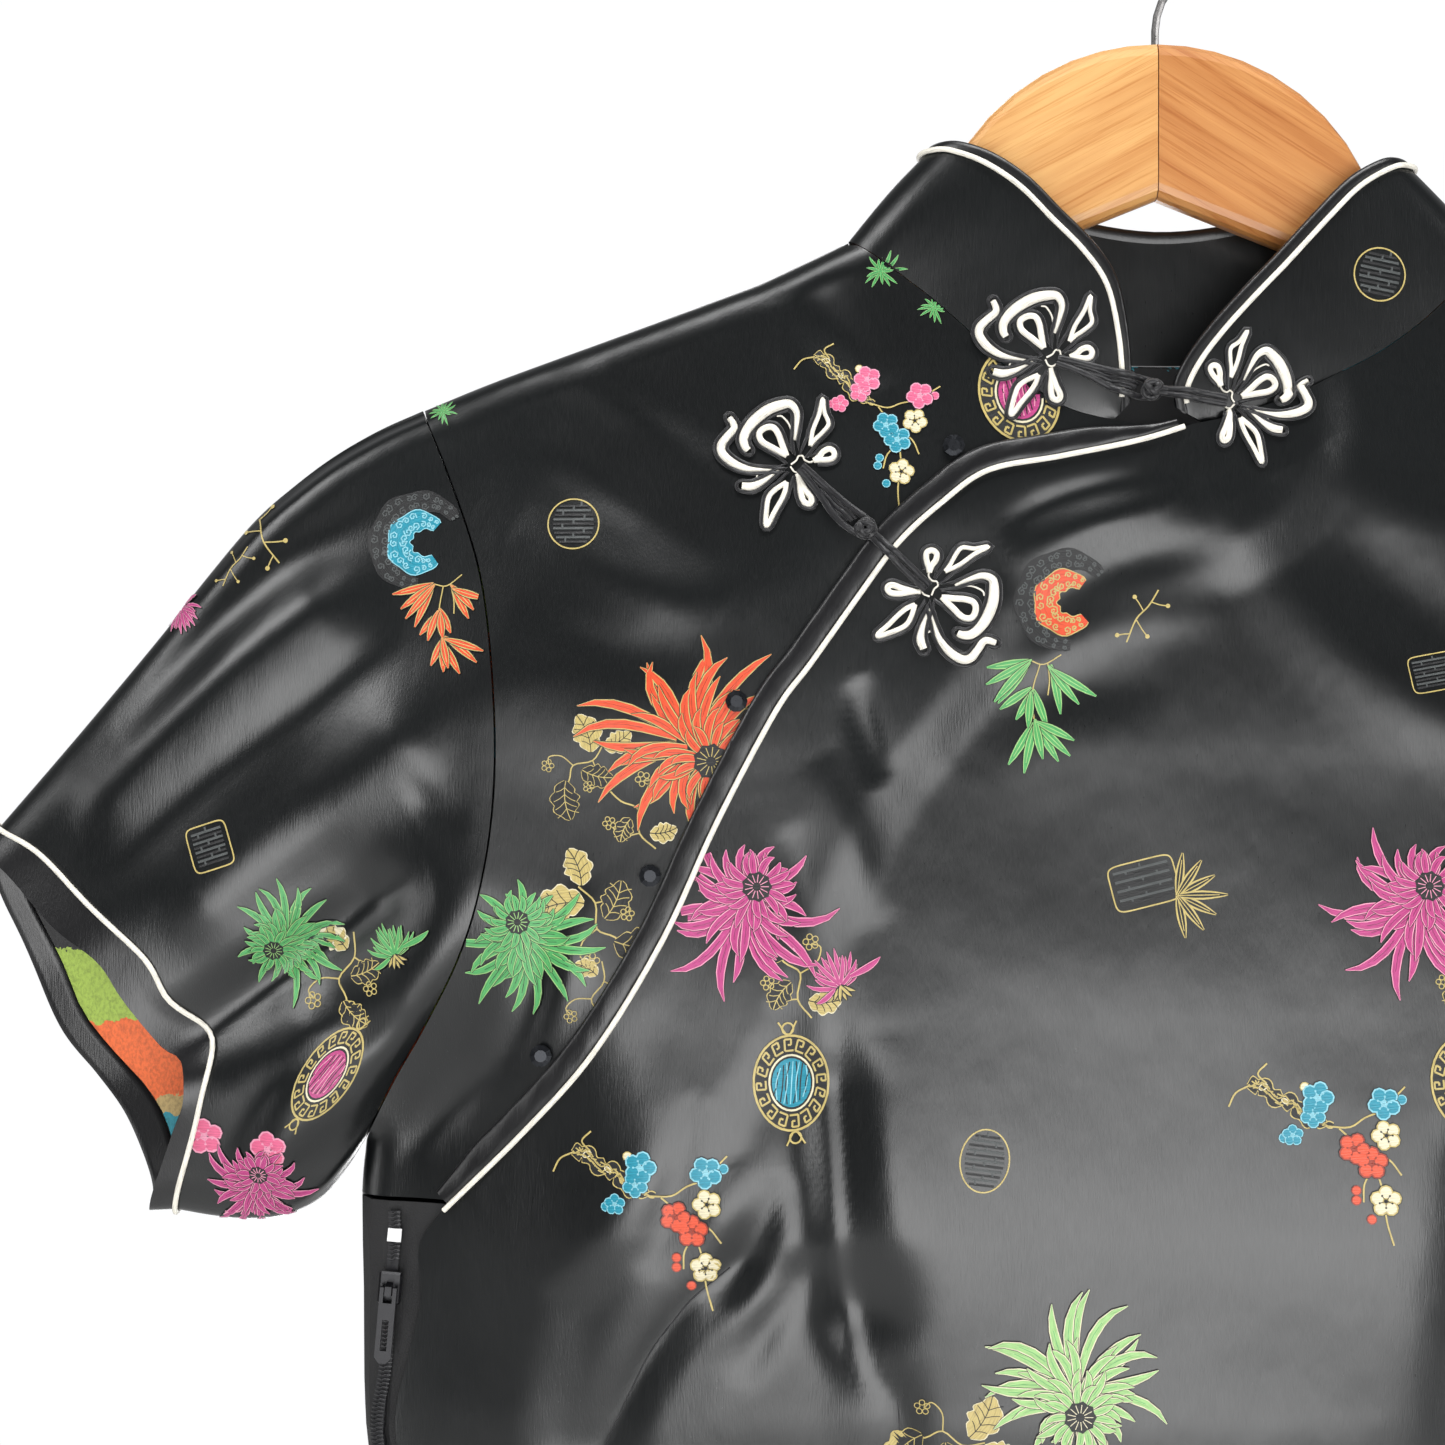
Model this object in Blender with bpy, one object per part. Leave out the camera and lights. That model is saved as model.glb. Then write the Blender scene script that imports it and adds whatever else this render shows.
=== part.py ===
"""Cheongsam dress on a wooden hanger, modelled in metres with +Z up.

The garment hangs flat: its front faces -Y, +X is the right of somebody who looks at the front.
The origin is the inner top of the hanger's hook, the point that rests on a rod.
Lengths in the tables are millimetres, and MM turns them into metres.
"""
import math

import bmesh
import bpy
from mathutils import Matrix, Vector
from mathutils.bvhtree import BVHTree

MM = 0.001

# Driving dimensions of the dress, in millimetres
HEM_Z = -1097.0           # lower edge of the skirt
SLIT_TOP_Z = -850.0       # side slits run from here to the hem
SLIT_GAPE = 3.0           # how far each slit edge stands off the side line at the hem
ZIP_TOP_Z = -384.5
ZIP_END_Z = -606.0
CLOTH = 1.2               # wall of the brocade
COLLAR_WALL = 1.6         # the collar is stiffened
TAPE = 1.0                # zip tape
SEAM = 0.15               # half of the gap that two pieces keep at a seam
ARMHOLE_GAP = 0.55
EDGE_DEPTH = 8.0          # half depth of the soft fold along a silhouette
EDGE_REACH = 10.0         # how far in from the silhouette that fold reaches
BODY_RISE = 85.0          # the body reaches its full depth this far in
SLEEVE_RISE = 42.0
OPENING_STEPS = 22        # stretches along the slanting edge, shared by what is sewn to it
OVERLAP = 20.0            # the under flap reaches this far below the front's edge
FLAP_LIFT = 2.7           # the front lies this far outside the under flap
BINDING_WIDTH = 7.0
PIPING_RADIUS = 0.75
CORD_RADIUS = 0.95
COLLAR_BINDING = 3.0
SHOULDER_TILT = math.radians(22.4)

# Shoulder seam, from the neck to the armhole: columns x, z
SHOULDER = ((0.0, -78.0), (86.5, -117.0), (111.0, -128.6), (145.0, -141.2), (184.5, -155.6), (205.6, -164.2))

# Armhole seam, from the shoulder to the underarm: columns x, z
ARMHOLE = ((205.6, -164.2), (198.2, -181.8), (189.2, -207.1), (185.1, -229.3), (183.2, -255.0),
           (184.0, -278.0), (187.5, -299.0), (193.6, -316.9), (203.6, -336.0), (212.5, -351.0),
           (222.0, -369.5))

# Side seam below the underarm: columns x, z
SIDE = ((222.0, -369.5), (223.2, -384.0), (222.8, -410.0), (221.6, -455.0), (213.0, -490.0), (201.5, -525.0),
        (196.5, -556.0), (202.0, -602.0), (221.0, -668.0), (233.5, -735.0), (232.0, -850.0), (224.0, -980.0),
        (216.0, HEM_Z))

# Depth of the front and of the back by height: columns z, front, back
DEPTHS = ((-78.0, 13.5, 12.0), (-165.0, 17.5, 14.0), (-200.0, 21.0, 15.0), (-260.0, 26.0, 15.0),
          (-330.0, 31.0, 15.0), (-390.0, 34.0, 15.0), (-440.0, 32.0, 15.0), (-500.0, 26.0, 15.0),
          (-600.0, 24.0, 18.0), (-700.0, 25.0, 22.0), (-850.0, 21.0, 19.0), (HEM_Z, 17.0, 17.0))

# Neckline of the front, outer end first, and of the back: columns x, z
NECK_LEFT = ((-86.5, -117.0), (-81.3, -120.6), (-72.6, -127.2), (-62.7, -135.1), (-54.2, -143.1),
             (-47.6, -150.0), (-40.0, -156.6), (-29.2, -164.5), (-18.3, -168.2), (-3.0, -170.4))
NECK_RIGHT = ((94.0, -120.6), (88.0, -126.5), (78.6, -135.0), (70.6, -142.0), (59.0, -150.0),
              (45.5, -156.8), (36.4, -161.3), (20.0, -167.4), (6.5, -170.4))
NECK_BACK = ((-86.5, -117.0), (-79.0, -126.0), (-64.0, -136.0), (-42.0, -144.0), (-18.0, -149.0),
             (3.0, -150.0), (24.0, -149.4), (48.0, -145.5), (70.0, -138.5), (86.0, -129.0), (94.0, -120.6))

# Piped edge of the front, from the neck across the chest to the underarm: columns x, z
OPENING = ((6.5, -170.4), (-8.1, -174.9), (-29.9, -179.4), (-49.5, -183.2), (-62.5, -192.3), (-74.3, -203.3),
           (-85.3, -218.1), (-98.1, -236.1), (-107.6, -249.1), (-123.5, -279.2), (-137.8, -310.1),
           (-156.2, -340.1), (-175.6, -362.7), (-198.3, -385.8))

# Edge of the front beside the zip, and the zip's chain: columns x, z
ZIP_EDGE = ((-198.3, -385.8), (-205.5, -396.0), (-205.0, -411.0), (-208.6, -427.0), (-212.2, -449.0),
            (-203.0, -487.0), (-190.4, -522.0), (-185.8, -556.0), (-187.4, -590.0), (-190.6, ZIP_END_Z))
ZIP_CHAIN = ((-212.6, ZIP_TOP_Z), (-212.6, -396.0), (-213.9, -412.0), (-215.0, -431.0), (-216.8, -452.0),
             (-207.2, -487.0), (-194.8, -522.0), (-190.2, -556.0), (-191.8, -590.0), (-194.6, -604.0))

# Collar, from its front end on the left, round the back, to its front end on the right.
# Columns: place round the neck (-1 left front, 0 left shoulder, 1 right shoulder, 2 right front),
# then x, y, z of the upper edge
COLLAR = ((-0.885, -10.4, -18.8, -164.5), (-0.82, -10.0, -19.0, -155.5), (-0.72, -11.2, -19.2, -142.5),
          (-0.62, -14.2, -18.8, -129.5), (-0.52, -20.5, -18.0, -119.8), (-0.42, -29.2, -16.8, -110.6),
          (-0.31, -37.7, -15.2, -101.5), (-0.19, -47.3, -12.8, -94.4), (-0.075, -56.5, -9.2, -90.4),
          (-0.02, -61.8, -4.6, -90.0), (0.0, -63.5, 0.0, -90.8), (0.02, -61.5, 4.6, -91.4),
          (0.075, -56.5, 8.8, -93.0), (0.18, -46.0, 10.6, -98.0), (0.33, -25.0, 12.2, -107.0),
          (0.5, 2.0, 13.0, -111.5), (0.67, 28.0, 12.4, -108.5), (0.82, 51.0, 10.8, -100.5),
          (0.925, 62.5, 8.8, -96.6), (0.98, 68.0, 4.6, -95.4), (1.0, 70.0, 0.0, -95.0),
          (1.02, 68.0, -4.6, -94.4), (1.075, 62.0, -9.2, -95.2), (1.18, 52.0, -12.6, -101.0),
          (1.29, 42.4, -14.8, -110.4), (1.43, 30.0, -16.8, -123.7), (1.55, 20.8, -18.0, -133.2),
          (1.68, 11.6, -19.0, -143.4), (1.8, 5.1, -19.6, -152.2), (1.9, 1.8, -19.8, -159.7),
          (1.965, 2.6, -19.4, -166.0))

# Sleeve outlines in the plane of the garment: columns x, z
SLEEVE_TOP = ((206.0, -164.0), (218.3, -169.5), (230.9, -176.8), (242.2, -185.2), (253.5, -195.2),
              (267.5, -211.8), (280.2, -228.0), (302.7, -255.0), (325.3, -281.3))
SLEEVE_UNDERARM = ((222.5, -369.8), (227.5, -377.5), (234.5, -385.6), (244.0, -390.4), (254.9, -391.6),
                   (264.7, -390.8), (275.3, -388.9))
HEM_FRONT = ((325.3, -281.3), (311.7, -287.8), (296.5, -301.6), (280.3, -316.4), (274.0, -328.0),
             (265.0, -336.0), (262.3, -342.5), (265.1, -355.0), (267.8, -365.0), (273.0, -381.0),
             (275.3, -388.9))
HEM_BACK = ((325.3, -281.3), (322.6, -293.0), (318.9, -304.5), (311.0, -322.0), (305.4, -335.3),
            (296.1, -347.1), (285.6, -358.5), (279.3, -370.0), (275.3, -388.9))
BAND_FRONT = ((332.0, -287.5), (322.8, -292.0), (306.1, -308.2), (293.5, -317.5), (286.5, -328.0),
              (276.5, -341.1), (271.2, -345.5), (270.3, -356.4), (274.0, -366.0), (279.5, -380.0),
              (282.8, -389.2))
BAND_BACK = ((332.0, -287.5), (327.7, -301.3), (323.5, -312.0), (312.8, -338.4), (301.9, -352.6),
             (293.1, -363.8), (287.2, -374.6), (284.0, -383.0), (282.8, -389.2))

# Largest folds of the front: columns x and z of each end, half width, height (troughs are negative)
FRONT_FOLDS = ((-153.0, -447.0, -121.0, -397.0, 11.0, -3.0), (-91.0, -352.0, -84.0, -408.0, 12.0, -4.0),
               (-84.0, -408.0, -72.0, -520.0, 14.0, -4.0), (86.0, -372.0, 74.0, -520.0, 14.0, -4.0),
               (150.0, -440.0, 124.0, -398.0, 11.0, -3.0),
               (-62.0, -640.0, -76.0, -1090.0, 30.0, 5.0), (58.0, -610.0, 84.0, -1095.0, 34.0, 4.5),
               (4.0, -700.0, -6.0, -1096.0, 26.0, -4.5), (-150.0, -700.0, -158.0, -1090.0, 28.0, -4.0),
               (148.0, -660.0, 160.0, -1096.0, 26.0, -4.0))
BACK_FOLDS = ((-72.0, -385.0, -70.0, -600.0, 14.0, -4.0), (70.0, -395.0, 74.0, -612.0, 14.0, -4.0),
              (-104.0, -690.0, -112.0, -1092.0, 30.0, 4.0), (20.0, -720.0, 12.0, -1095.0, 30.0, -4.0),
              (118.0, -650.0, 130.0, -1096.0, 32.0, 4.0), (-8.0, -215.0, 4.0, -340.0, 26.0, 3.0))
# Largest folds of a sleeve, given for the one at -X and mirrored for the other
SLEEVE_FOLDS = ((-266.0, -337.0, -221.0, -300.0, 13.0, -6.0), (-292.0, -268.0, -236.0, -222.0, 14.0, 3.5),
                (-262.0, -300.0, -212.0, -258.0, 13.0, 3.5), (-248.0, -376.0, -232.0, -340.0, 10.0, 3.0))

# Wooden hanger
HANGER_HALF_THICKNESS = 5.5
HANGER_ROUNDING = 4.0
HUMP_RADIUS = 64.5
HUMP_TOP_Z = -61.4
ARM_END_X = 188.0
# How far the arms' top lies below the shoulder line: columns x, clearance
ARM_CLEARANCE = ((0.0, 6.0), (98.0, 5.6), (118.0, 3.4), (200.0, 3.4))
NOTCH_Z = -105.0
ARM_UNDER_SLOPE = 0.40

# Hook of steel rod: its centre line, columns x, z
ROD_RADIUS = 1.1
HOOK_ARC_RADIUS = 20.0
BORE_CLEARANCE = 0.3
ROD_FOOT_Z = -74.0
HOOK_STEM = ((0.0, ROD_FOOT_Z), (0.0, -62.0), (0.3, -54.0), (3.0, -47.0), (8.6, -41.5), (14.2, -35.6))

# Frogs: columns name, hub x, hub z, turn in degrees
FROGS = (("frog_collar_left", -31.2, -152.3, 200.0), ("frog_collar_right", 16.6, -164.0, 20.0),
         ("frog_chest_upper", -101.2, -181.3, 225.0), ("frog_chest_lower", -65.9, -215.8, 45.0))
# Lobes of a frog's cord round its hub: columns direction in degrees, reach
FROG_LOBES = ((-60.0, 16.0), (-2.0, 14.0), (58.0, 17.0), (118.0, 17.0), (179.0, 14.5), (239.0, 15.5))
FROG_HALF_SPREAD = 20.0
FROG_HUB_RADIUS = 6.5
FROG_EDGE = 18.6          # clear of the longest lobe
# Fastenings between two frogs: columns name, knot x, knot z, from hub x, z, to hub x, z
FASTENINGS = (("collar", -4.4, -160.6, -31.2, -152.3, 16.6, -164.0),
              ("chest", -83.0, -199.0, -101.2, -181.3, -65.9, -215.8))
KNOT_RADIUS = 3.0
STEM_RADIUS = 0.8
LOOP_RING = KNOT_RADIUS + CORD_RADIUS + 0.4
# Press studs that show beside the binding: columns x, z
STUDS = ((-57.8, -178.0), (-115.7, -247.1), (-138.8, -294.7), (-169.6, -342.5))
STUD_RADIUS = 3.0

# Zip slider and its pull tab
SLIDER_Z = -408.0
SLIDER_WIDTH = 6.4
SLIDER_LENGTH = 9.0
SLIDER_THICKNESS = 2.2
LUG_HALF_WIDTH = 0.9
LUG_HEIGHT = 3.6
PIVOT_HEIGHT = 2.4
PULL_LENGTH = 20.0
PULL_WIDTH = 4.6
PULL_THICKNESS = 1.3
ZIP_TILT = math.radians(5.0)

# Colours and finishes: name, colour, roughness, metallic
MATERIALS = {
    "brocade": ((0.030, 0.033, 0.034), 0.38, 0.0),
    "satin": ((0.012, 0.012, 0.013), 0.32, 0.0),
    "piping": ((0.84, 0.79, 0.66), 0.45, 0.0),
    "wood": ((0.70, 0.42, 0.17), 0.42, 0.0),
    "steel": ((0.45, 0.44, 0.44), 0.30, 1.0),
    "stud": ((0.05, 0.05, 0.055), 0.30, 1.0),
    "zip": ((0.015, 0.015, 0.016), 0.55, 0.0),
    "stop": ((0.80, 0.80, 0.78), 0.40, 0.0),
}


def material(name):
    found = bpy.data.materials.get(name)
    if found:
        return found
    colour, roughness, metallic = MATERIALS[name]
    made = bpy.data.materials.new(name)
    made.use_nodes = True
    shader = made.node_tree.nodes["Principled BSDF"]
    shader.inputs["Base Color"].default_value = (*colour, 1.0)
    shader.inputs["Roughness"].default_value = roughness
    shader.inputs["Metallic"].default_value = metallic
    return made


# Small curve and number helpers
def smooth(value):
    value = min(max(value, 0.0), 1.0)
    return value * value * (3.0 - 2.0 * value)


def lerp(a, b, t):
    return a + (b - a) * t


def lookup(table, key, column):
    """Read a column of a table whose first column falls, easing between its rows."""
    for upper, lower in zip(table, table[1:]):
        if key >= lower[0]:
            t = (upper[0] - key) / (upper[0] - lower[0])
            return lerp(upper[column], lower[column], smooth(t) * 0.5 + min(max(t, 0.0), 1.0) * 0.5)
    return table[-1][column]


def x_at(table, z):
    """Read x from a table of x, z rows that runs downwards."""
    for upper, lower in zip(table, table[1:]):
        if z >= lower[1]:
            t = (upper[1] - z) / (upper[1] - lower[1])
            return lerp(upper[0], lower[0], min(max(t, 0.0), 1.0))
    return table[-1][0]


def z_at(table, x):
    """Read z from a table of x, z rows that runs outwards along +X."""
    for near, far in zip(table, table[1:]):
        if x <= far[0]:
            return lerp(near[1], far[1], (x - near[0]) / (far[0] - near[0]))
    return table[-1][1]


def mirrored(table):
    return tuple((-row[0], *row[1:]) for row in table)


class Path:
    """A smooth curve through given points, read by the share of its length."""

    def __init__(self, points, steps=8):
        vectors = [Vector(point) for point in points]
        ends = [vectors[0] * 2.0 - vectors[1], *vectors, vectors[-1] * 2.0 - vectors[-2]]
        self.points = []
        for a, b, c, d in zip(ends, ends[1:], ends[2:], ends[3:]):
            for step in range(steps):
                t = step / steps
                bend = (c - a) * t + (a * 2.0 - b * 5.0 + c * 4.0 - d) * t ** 2
                self.points.append(b + (bend + (b * 3.0 - a - c * 3.0 + d) * t ** 3) * 0.5)
        self.points.append(vectors[-1])
        self.run = [0.0]
        for near, far in zip(self.points, self.points[1:]):
            self.run.append(self.run[-1] + (far - near).length)
        self.length = self.run[-1]

    def at(self, share):
        target = min(max(share, 0.0), 1.0) * self.length
        low, high = 0, len(self.run) - 1
        while high - low > 1:
            middle = (low + high) // 2
            if self.run[middle] <= target:
                low = middle
            else:
                high = middle
        span = self.run[high] - self.run[low]
        return self.points[low].lerp(self.points[high], (target - self.run[low]) / span)

    def sample(self, count):
        return [self.at(step / (count - 1)) for step in range(count)]

    def side(self, share):
        """Unit vector square to the curve, on its right as it runs (x, z plane)."""
        run = self.at(share + 0.004) - self.at(share - 0.004)
        return Vector((run.y, -run.x)).normalized()


def distance_to(point, path):
    return min((Vector(point) - step).length for step in path.points)


ARMHOLE_LINE = [tuple(point) for point in Path(ARMHOLE).points]
SIDE_LINE = [tuple(point) for point in Path(SIDE).points]


def width_at(z):
    """Half width of the body between its armholes or its side seams."""
    if z >= ARMHOLE[0][1]:
        return ARMHOLE[0][0]
    return x_at(ARMHOLE_LINE if z >= ARMHOLE[-1][1] else SIDE_LINE, z)


# Form of the body: depth of the cloth at a place in the plane of the garment
def folds(x, z, table):
    total = 0.0
    for x0, z0, x1, z1, half_width, height in table:
        run = Vector((x1 - x0, z1 - z0))
        share = (Vector((x - x0, z - z0)).dot(run)) / run.length_squared
        away = Vector((x, z)) - (Vector((x0, z0)) + run * min(max(share, 0.0), 1.0))
        total += height * math.exp(-(away.length / half_width) ** 2)
    return total


def inset(x, z):
    """Distance in from the nearest silhouette of the body, and the inward direction."""
    side_x = abs(x)
    sign = -1.0 if x > 0.0 else 1.0
    below = (z_at(SHOULDER, side_x) - z) * math.cos(SHOULDER_TILT)
    down = (sign * math.sin(SHOULDER_TILT), -math.cos(SHOULDER_TILT))
    underarm = Vector(SIDE[0])
    if z <= underarm.y:
        across, inward = x_at(SIDE_LINE, z) - side_x, (sign, 0.0)
    else:
        away = Vector((side_x, z)) - underarm
        across = away.length
        inward = (-sign * away.x / max(across, 1e-6), away.y / max(across, 1e-6))
    if below < across:
        return max(below, 0.0), down
    return max(across, 0.0), inward


def slit_gape(z):
    return SLIT_GAPE * smooth((SLIT_TOP_Z - z) / (SLIT_TOP_Z - HEM_Z))


def body_point(x, z, facing, lift=0.0, sunk=0.0):
    """Point of the body's surface in millimetres; facing is -1 for the front, 1 for the back."""
    deep = lookup(DEPTHS, z, 1 if facing < 0.0 else 2)
    distance, inward = inset(x, z)
    cosine = 1.0 - min(distance / EDGE_REACH, 1.0)
    sine = math.sqrt(1.0 - cosine ** 2)
    fullness = smooth(distance / BODY_RISE)
    if facing < 0.0:
        bust = math.exp(-((abs(x) - 92.0) / 58.0) ** 2 - ((z + 385.0) / 62.0) ** 2)
        deep += 5.0 * bust
    crease = folds(x, z, FRONT_FOLDS if facing < 0.0 else BACK_FOLDS) * smooth(distance / 30.0)
    depth = SEAM + slit_gape(z) + EDGE_DEPTH * sine + (deep - EDGE_DEPTH) * fullness + crease
    out = Vector((-inward[0] * EDGE_DEPTH * cosine, facing * EDGE_REACH * sine,
                  -inward[1] * EDGE_DEPTH * cosine)).normalized()
    return Vector((x, facing * depth, z)) + out * (lift - sunk)


OPENING_PATH = Path(OPENING)
FRONT_EDGE_PATH = Path((*OPENING, *ZIP_EDGE[1:]))
CHAIN_PATH = Path(ZIP_CHAIN)


def front_lift(x, z):
    """How far the front stands off where the under flap and the zip lie below it."""
    near = distance_to((x, z), FRONT_EDGE_PATH)
    return FLAP_LIFT * (1.0 - smooth((near - OVERLAP - 11.0) / 18.0)) * smooth((z + 660.0) / 40.0)


# Mesh builders
def finish(name, bm, material_name, soft=True):
    for vertex in bm.verts:
        vertex.co *= MM
    bmesh.ops.recalc_face_normals(bm, faces=bm.faces)
    mesh = bpy.data.meshes.new(name)
    bm.to_mesh(mesh)
    bm.free()
    mesh.materials.append(material(material_name))
    if soft:
        mesh.shade_smooth()
        mesh.set_sharp_from_angle(angle=math.radians(40.0))
    made = bpy.data.objects.new(name, mesh)
    bpy.context.collection.objects.link(made)
    return made


def wall(name, outer, inner, material_name, closed=False):
    """Closed solid between two grids of points; closed joins the last column to the first."""
    bm = bmesh.new()
    skins = [[[bm.verts.new(point) for point in row] for row in grid] for grid in (outer, inner)]
    rows, columns = len(outer), len(outer[0])
    spans = columns if closed else columns - 1
    for skin in skins:
        for r in range(rows - 1):
            for c in range(spans):
                d = (c + 1) % columns
                bm.faces.new((skin[r][c], skin[r][d], skin[r + 1][d], skin[r + 1][c]))
    for r in (0, rows - 1):
        for c in range(spans):
            d = (c + 1) % columns
            bm.faces.new((skins[0][r][c], skins[0][r][d], skins[1][r][d], skins[1][r][c]))
    if not closed:
        for c in (0, columns - 1):
            for r in range(rows - 1):
                bm.faces.new((skins[0][r][c], skins[0][r + 1][c], skins[1][r + 1][c], skins[1][r][c]))
    return finish(name, bm, material_name)


def thickened(grid, thickness, closed=False, flip=False):
    """The inner grid of a wall: each point moved in along the normal of the grid."""
    rows, columns = len(grid), len(grid[0])
    inner = []
    for r in range(rows):
        line = []
        for c in range(columns):
            before, after = (c - 1, (c + 1) % columns) if closed else (max(c - 1, 0), min(c + 1, columns - 1))
            across = grid[r][after] - grid[r][before]
            along = grid[min(r + 1, rows - 1)][c] - grid[max(r - 1, 0)][c]
            normal = across.cross(along).normalized()
            line.append(grid[r][c] + normal * (-thickness if flip else thickness))
        inner.append(line)
    return inner


def cord(name, points, radius, material_name, cyclic=False, resolution=0):
    curve = bpy.data.curves.new(name, "CURVE")
    curve.dimensions = "3D"
    curve.bevel_depth = radius * MM
    curve.bevel_resolution = resolution
    curve.use_fill_caps = not cyclic
    spline = curve.splines.new("POLY")
    spline.points.add(len(points) - 1)
    for target, point in zip(spline.points, points):
        target.co = (*(point * MM), 1.0)
    spline.use_cyclic_u = cyclic
    curve.materials.append(material(material_name))
    made = bpy.data.objects.new(name, curve)
    bpy.context.collection.objects.link(made)
    return made


def turned(name, profile, start, end, material_name, sides=12):
    """Solid turned about the line from start to end; profile rows are distance along it and radius."""
    bm = bmesh.new()
    along = (end - start).normalized()
    turn = Vector((0.0, 0.0, 1.0)).rotation_difference(along)
    rings = []
    for height, radius in profile:
        if radius == 0.0:
            rings.append([bm.verts.new(start + turn @ Vector((0.0, 0.0, height)))])
            continue
        ring = []
        for step in range(sides):
            angle = 2.0 * math.pi * step / sides
            around = Vector((radius * math.cos(angle), radius * math.sin(angle), height))
            ring.append(bm.verts.new(start + turn @ around))
        rings.append(ring)
    for low, high in zip(rings, rings[1:]):
        for step in range(sides):
            after = (step + 1) % sides
            corners = [low[step % len(low)], low[after % len(low)]]
            corners += [high[after % len(high)], high[step % len(high)]]
            bm.faces.new(list(dict.fromkeys(corners)))
    return finish(name, bm, material_name)


def block(name, outline, half_width, place, material_name, bevel=0.0):
    """Side outline (y, z) drawn out along x, then placed; its sharp rims are eased by a bevel."""
    bm = bmesh.new()
    rings = [[bm.verts.new((x, y, z)) for y, z in outline] for x in (-half_width, half_width)]
    bm.faces.new(rings[0])
    bm.faces.new(rings[1])
    for step in range(len(outline)):
        after = (step + 1) % len(outline)
        bm.faces.new((rings[0][step], rings[0][after], rings[1][after], rings[1][step]))
    if bevel:
        bmesh.ops.bevel(bm, geom=bm.edges[:], offset=bevel, segments=1, affect="EDGES", clamp_overlap=True)
    bmesh.ops.transform(bm, matrix=place, verts=bm.verts)
    return finish(name, bm, material_name, soft=False)


# Grids of the flat panels
def eased(count):
    """Shares from 0 to 1 that crowd at both ends, where a panel turns at its silhouette."""
    return [(1.0 - math.cos(math.pi * step / (count - 1))) / 2.0 for step in range(count)]


def panel_grids(lefts, rights, columns, facing, lift_at=None, thickness=CLOTH):
    outer, inner = [], []
    for left, right in zip(lefts, rights):
        outer_row, inner_row = [], []
        for share in eased(columns):
            x, z = left.lerp(right, share)
            lift = lift_at(x, z) if lift_at else 0.0
            outer_row.append(body_point(x, z, facing, lift))
            inner_row.append(body_point(x, z, facing, lift, thickness))
        outer.append(outer_row)
        inner.append(inner_row)
    return outer, inner


def joined(*stretches):
    """Points of several stretches in a row, each given as a path and a number of steps."""
    points = []
    for path, steps in stretches:
        points += path.sample(steps + 1)[1 if points else 0:]
    return points


def side_stretch(start_z, end_z, sign):
    rows = [(sign * x_at(SIDE_LINE, start_z), start_z)]
    rows += [(sign * x, z) for x, z in SIDE_LINE if end_z + 1.0 < z < start_z - 1.0]
    rows.append((sign * x_at(SIDE_LINE, end_z), end_z))
    return Path(rows, 1)


def main_front():
    neck = Path(NECK_RIGHT)
    shoulder = Path([(94.0, z_at(SHOULDER, 94.0)), *SHOULDER[2:]])
    armhole = Path(ARMHOLE)
    lefts = joined((neck, 9), (OPENING_PATH, OPENING_STEPS), (Path(ZIP_EDGE), 9),
                   (side_stretch(ZIP_END_Z, HEM_Z, -1.0), 10))
    lefts[0] = neck.at(0.03)
    rights = joined((shoulder, 9), (armhole, OPENING_STEPS), (side_stretch(-369.5, ZIP_END_Z, 1.0), 9),
                    (side_stretch(ZIP_END_Z, HEM_Z, 1.0), 10))
    rights[0] = shoulder.at(0.015)
    outer, inner = panel_grids(lefts, rights, 17, -1.0, front_lift)
    return wall("front_panel", outer, inner, "brocade")


def under_flap():
    shoulder = Path([(-86.5, -117.0), *mirrored(SHOULDER[2:])])
    armhole = Path(mirrored(ARMHOLE))
    tail = Path(((-222.0, -369.5), (-223.1, -383.6)), 2)
    below = [(6.0, -172.0), (14.0, -184.0)]
    for step in range(2, 15):
        share = step / 14.0
        point = OPENING_PATH.at(share) - OPENING_PATH.side(share) * OVERLAP
        below.append((point.x, max(point.y, -383.6)))
    hidden = Path(below)
    lefts = joined((shoulder, 10), (armhole, 13), (tail, 1))
    rights = joined((Path(NECK_LEFT), 10), (hidden, 14))
    lefts[0] = shoulder.at(0.02)
    rights[0] = Path(NECK_LEFT).at(0.03)
    outer, inner = panel_grids(lefts, rights, 12, -1.0)
    return wall("under_flap", outer, inner, "brocade")


# Rows of the back: shares of the way from its top edge to the first level, then levels
BACK_TOP_SHARES = (0.0, 0.03, 0.09, 0.2, 0.45, 0.72)
BACK_LEVELS = (-205.0, -222.0, -239.0, -256.0, -273.0, -290.0, -307.0, -324.0, -340.0, -355.0, -369.5,
               -384.0, -420.0, -455.0, -487.0, -520.0, -560.0, -600.0, -650.0, -700.0, -770.0, -850.0,
               -930.0, -1010.0, HEM_Z)


def back_panel():
    neck = Path(NECK_BACK)
    left_top = Path([*reversed(mirrored(SHOULDER[2:])), (-86.5, -117.0)])
    right_top = Path([(94.0, z_at(SHOULDER, 94.0)), *SHOULDER[2:]])
    top = joined((left_top, 4))
    top += [neck.at(share) for share in eased(12)[1:]]
    top += right_top.sample(5)[1:]
    outer, inner = [], []
    for level in BACK_TOP_SHARES + BACK_LEVELS:
        outer_row, inner_row = [], []
        for point in top:
            z = lerp(point.y, BACK_LEVELS[0], level) if level >= 0.0 else level
            x = point.x / ARMHOLE[0][0] * width_at(z)
            outer_row.append(body_point(x, z, 1.0))
            inner_row.append(body_point(x, z, 1.0, 0.0, CLOTH))
        outer.append(outer_row)
        inner.append(inner_row)
    return wall("back_panel", outer, inner, "brocade")


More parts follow.
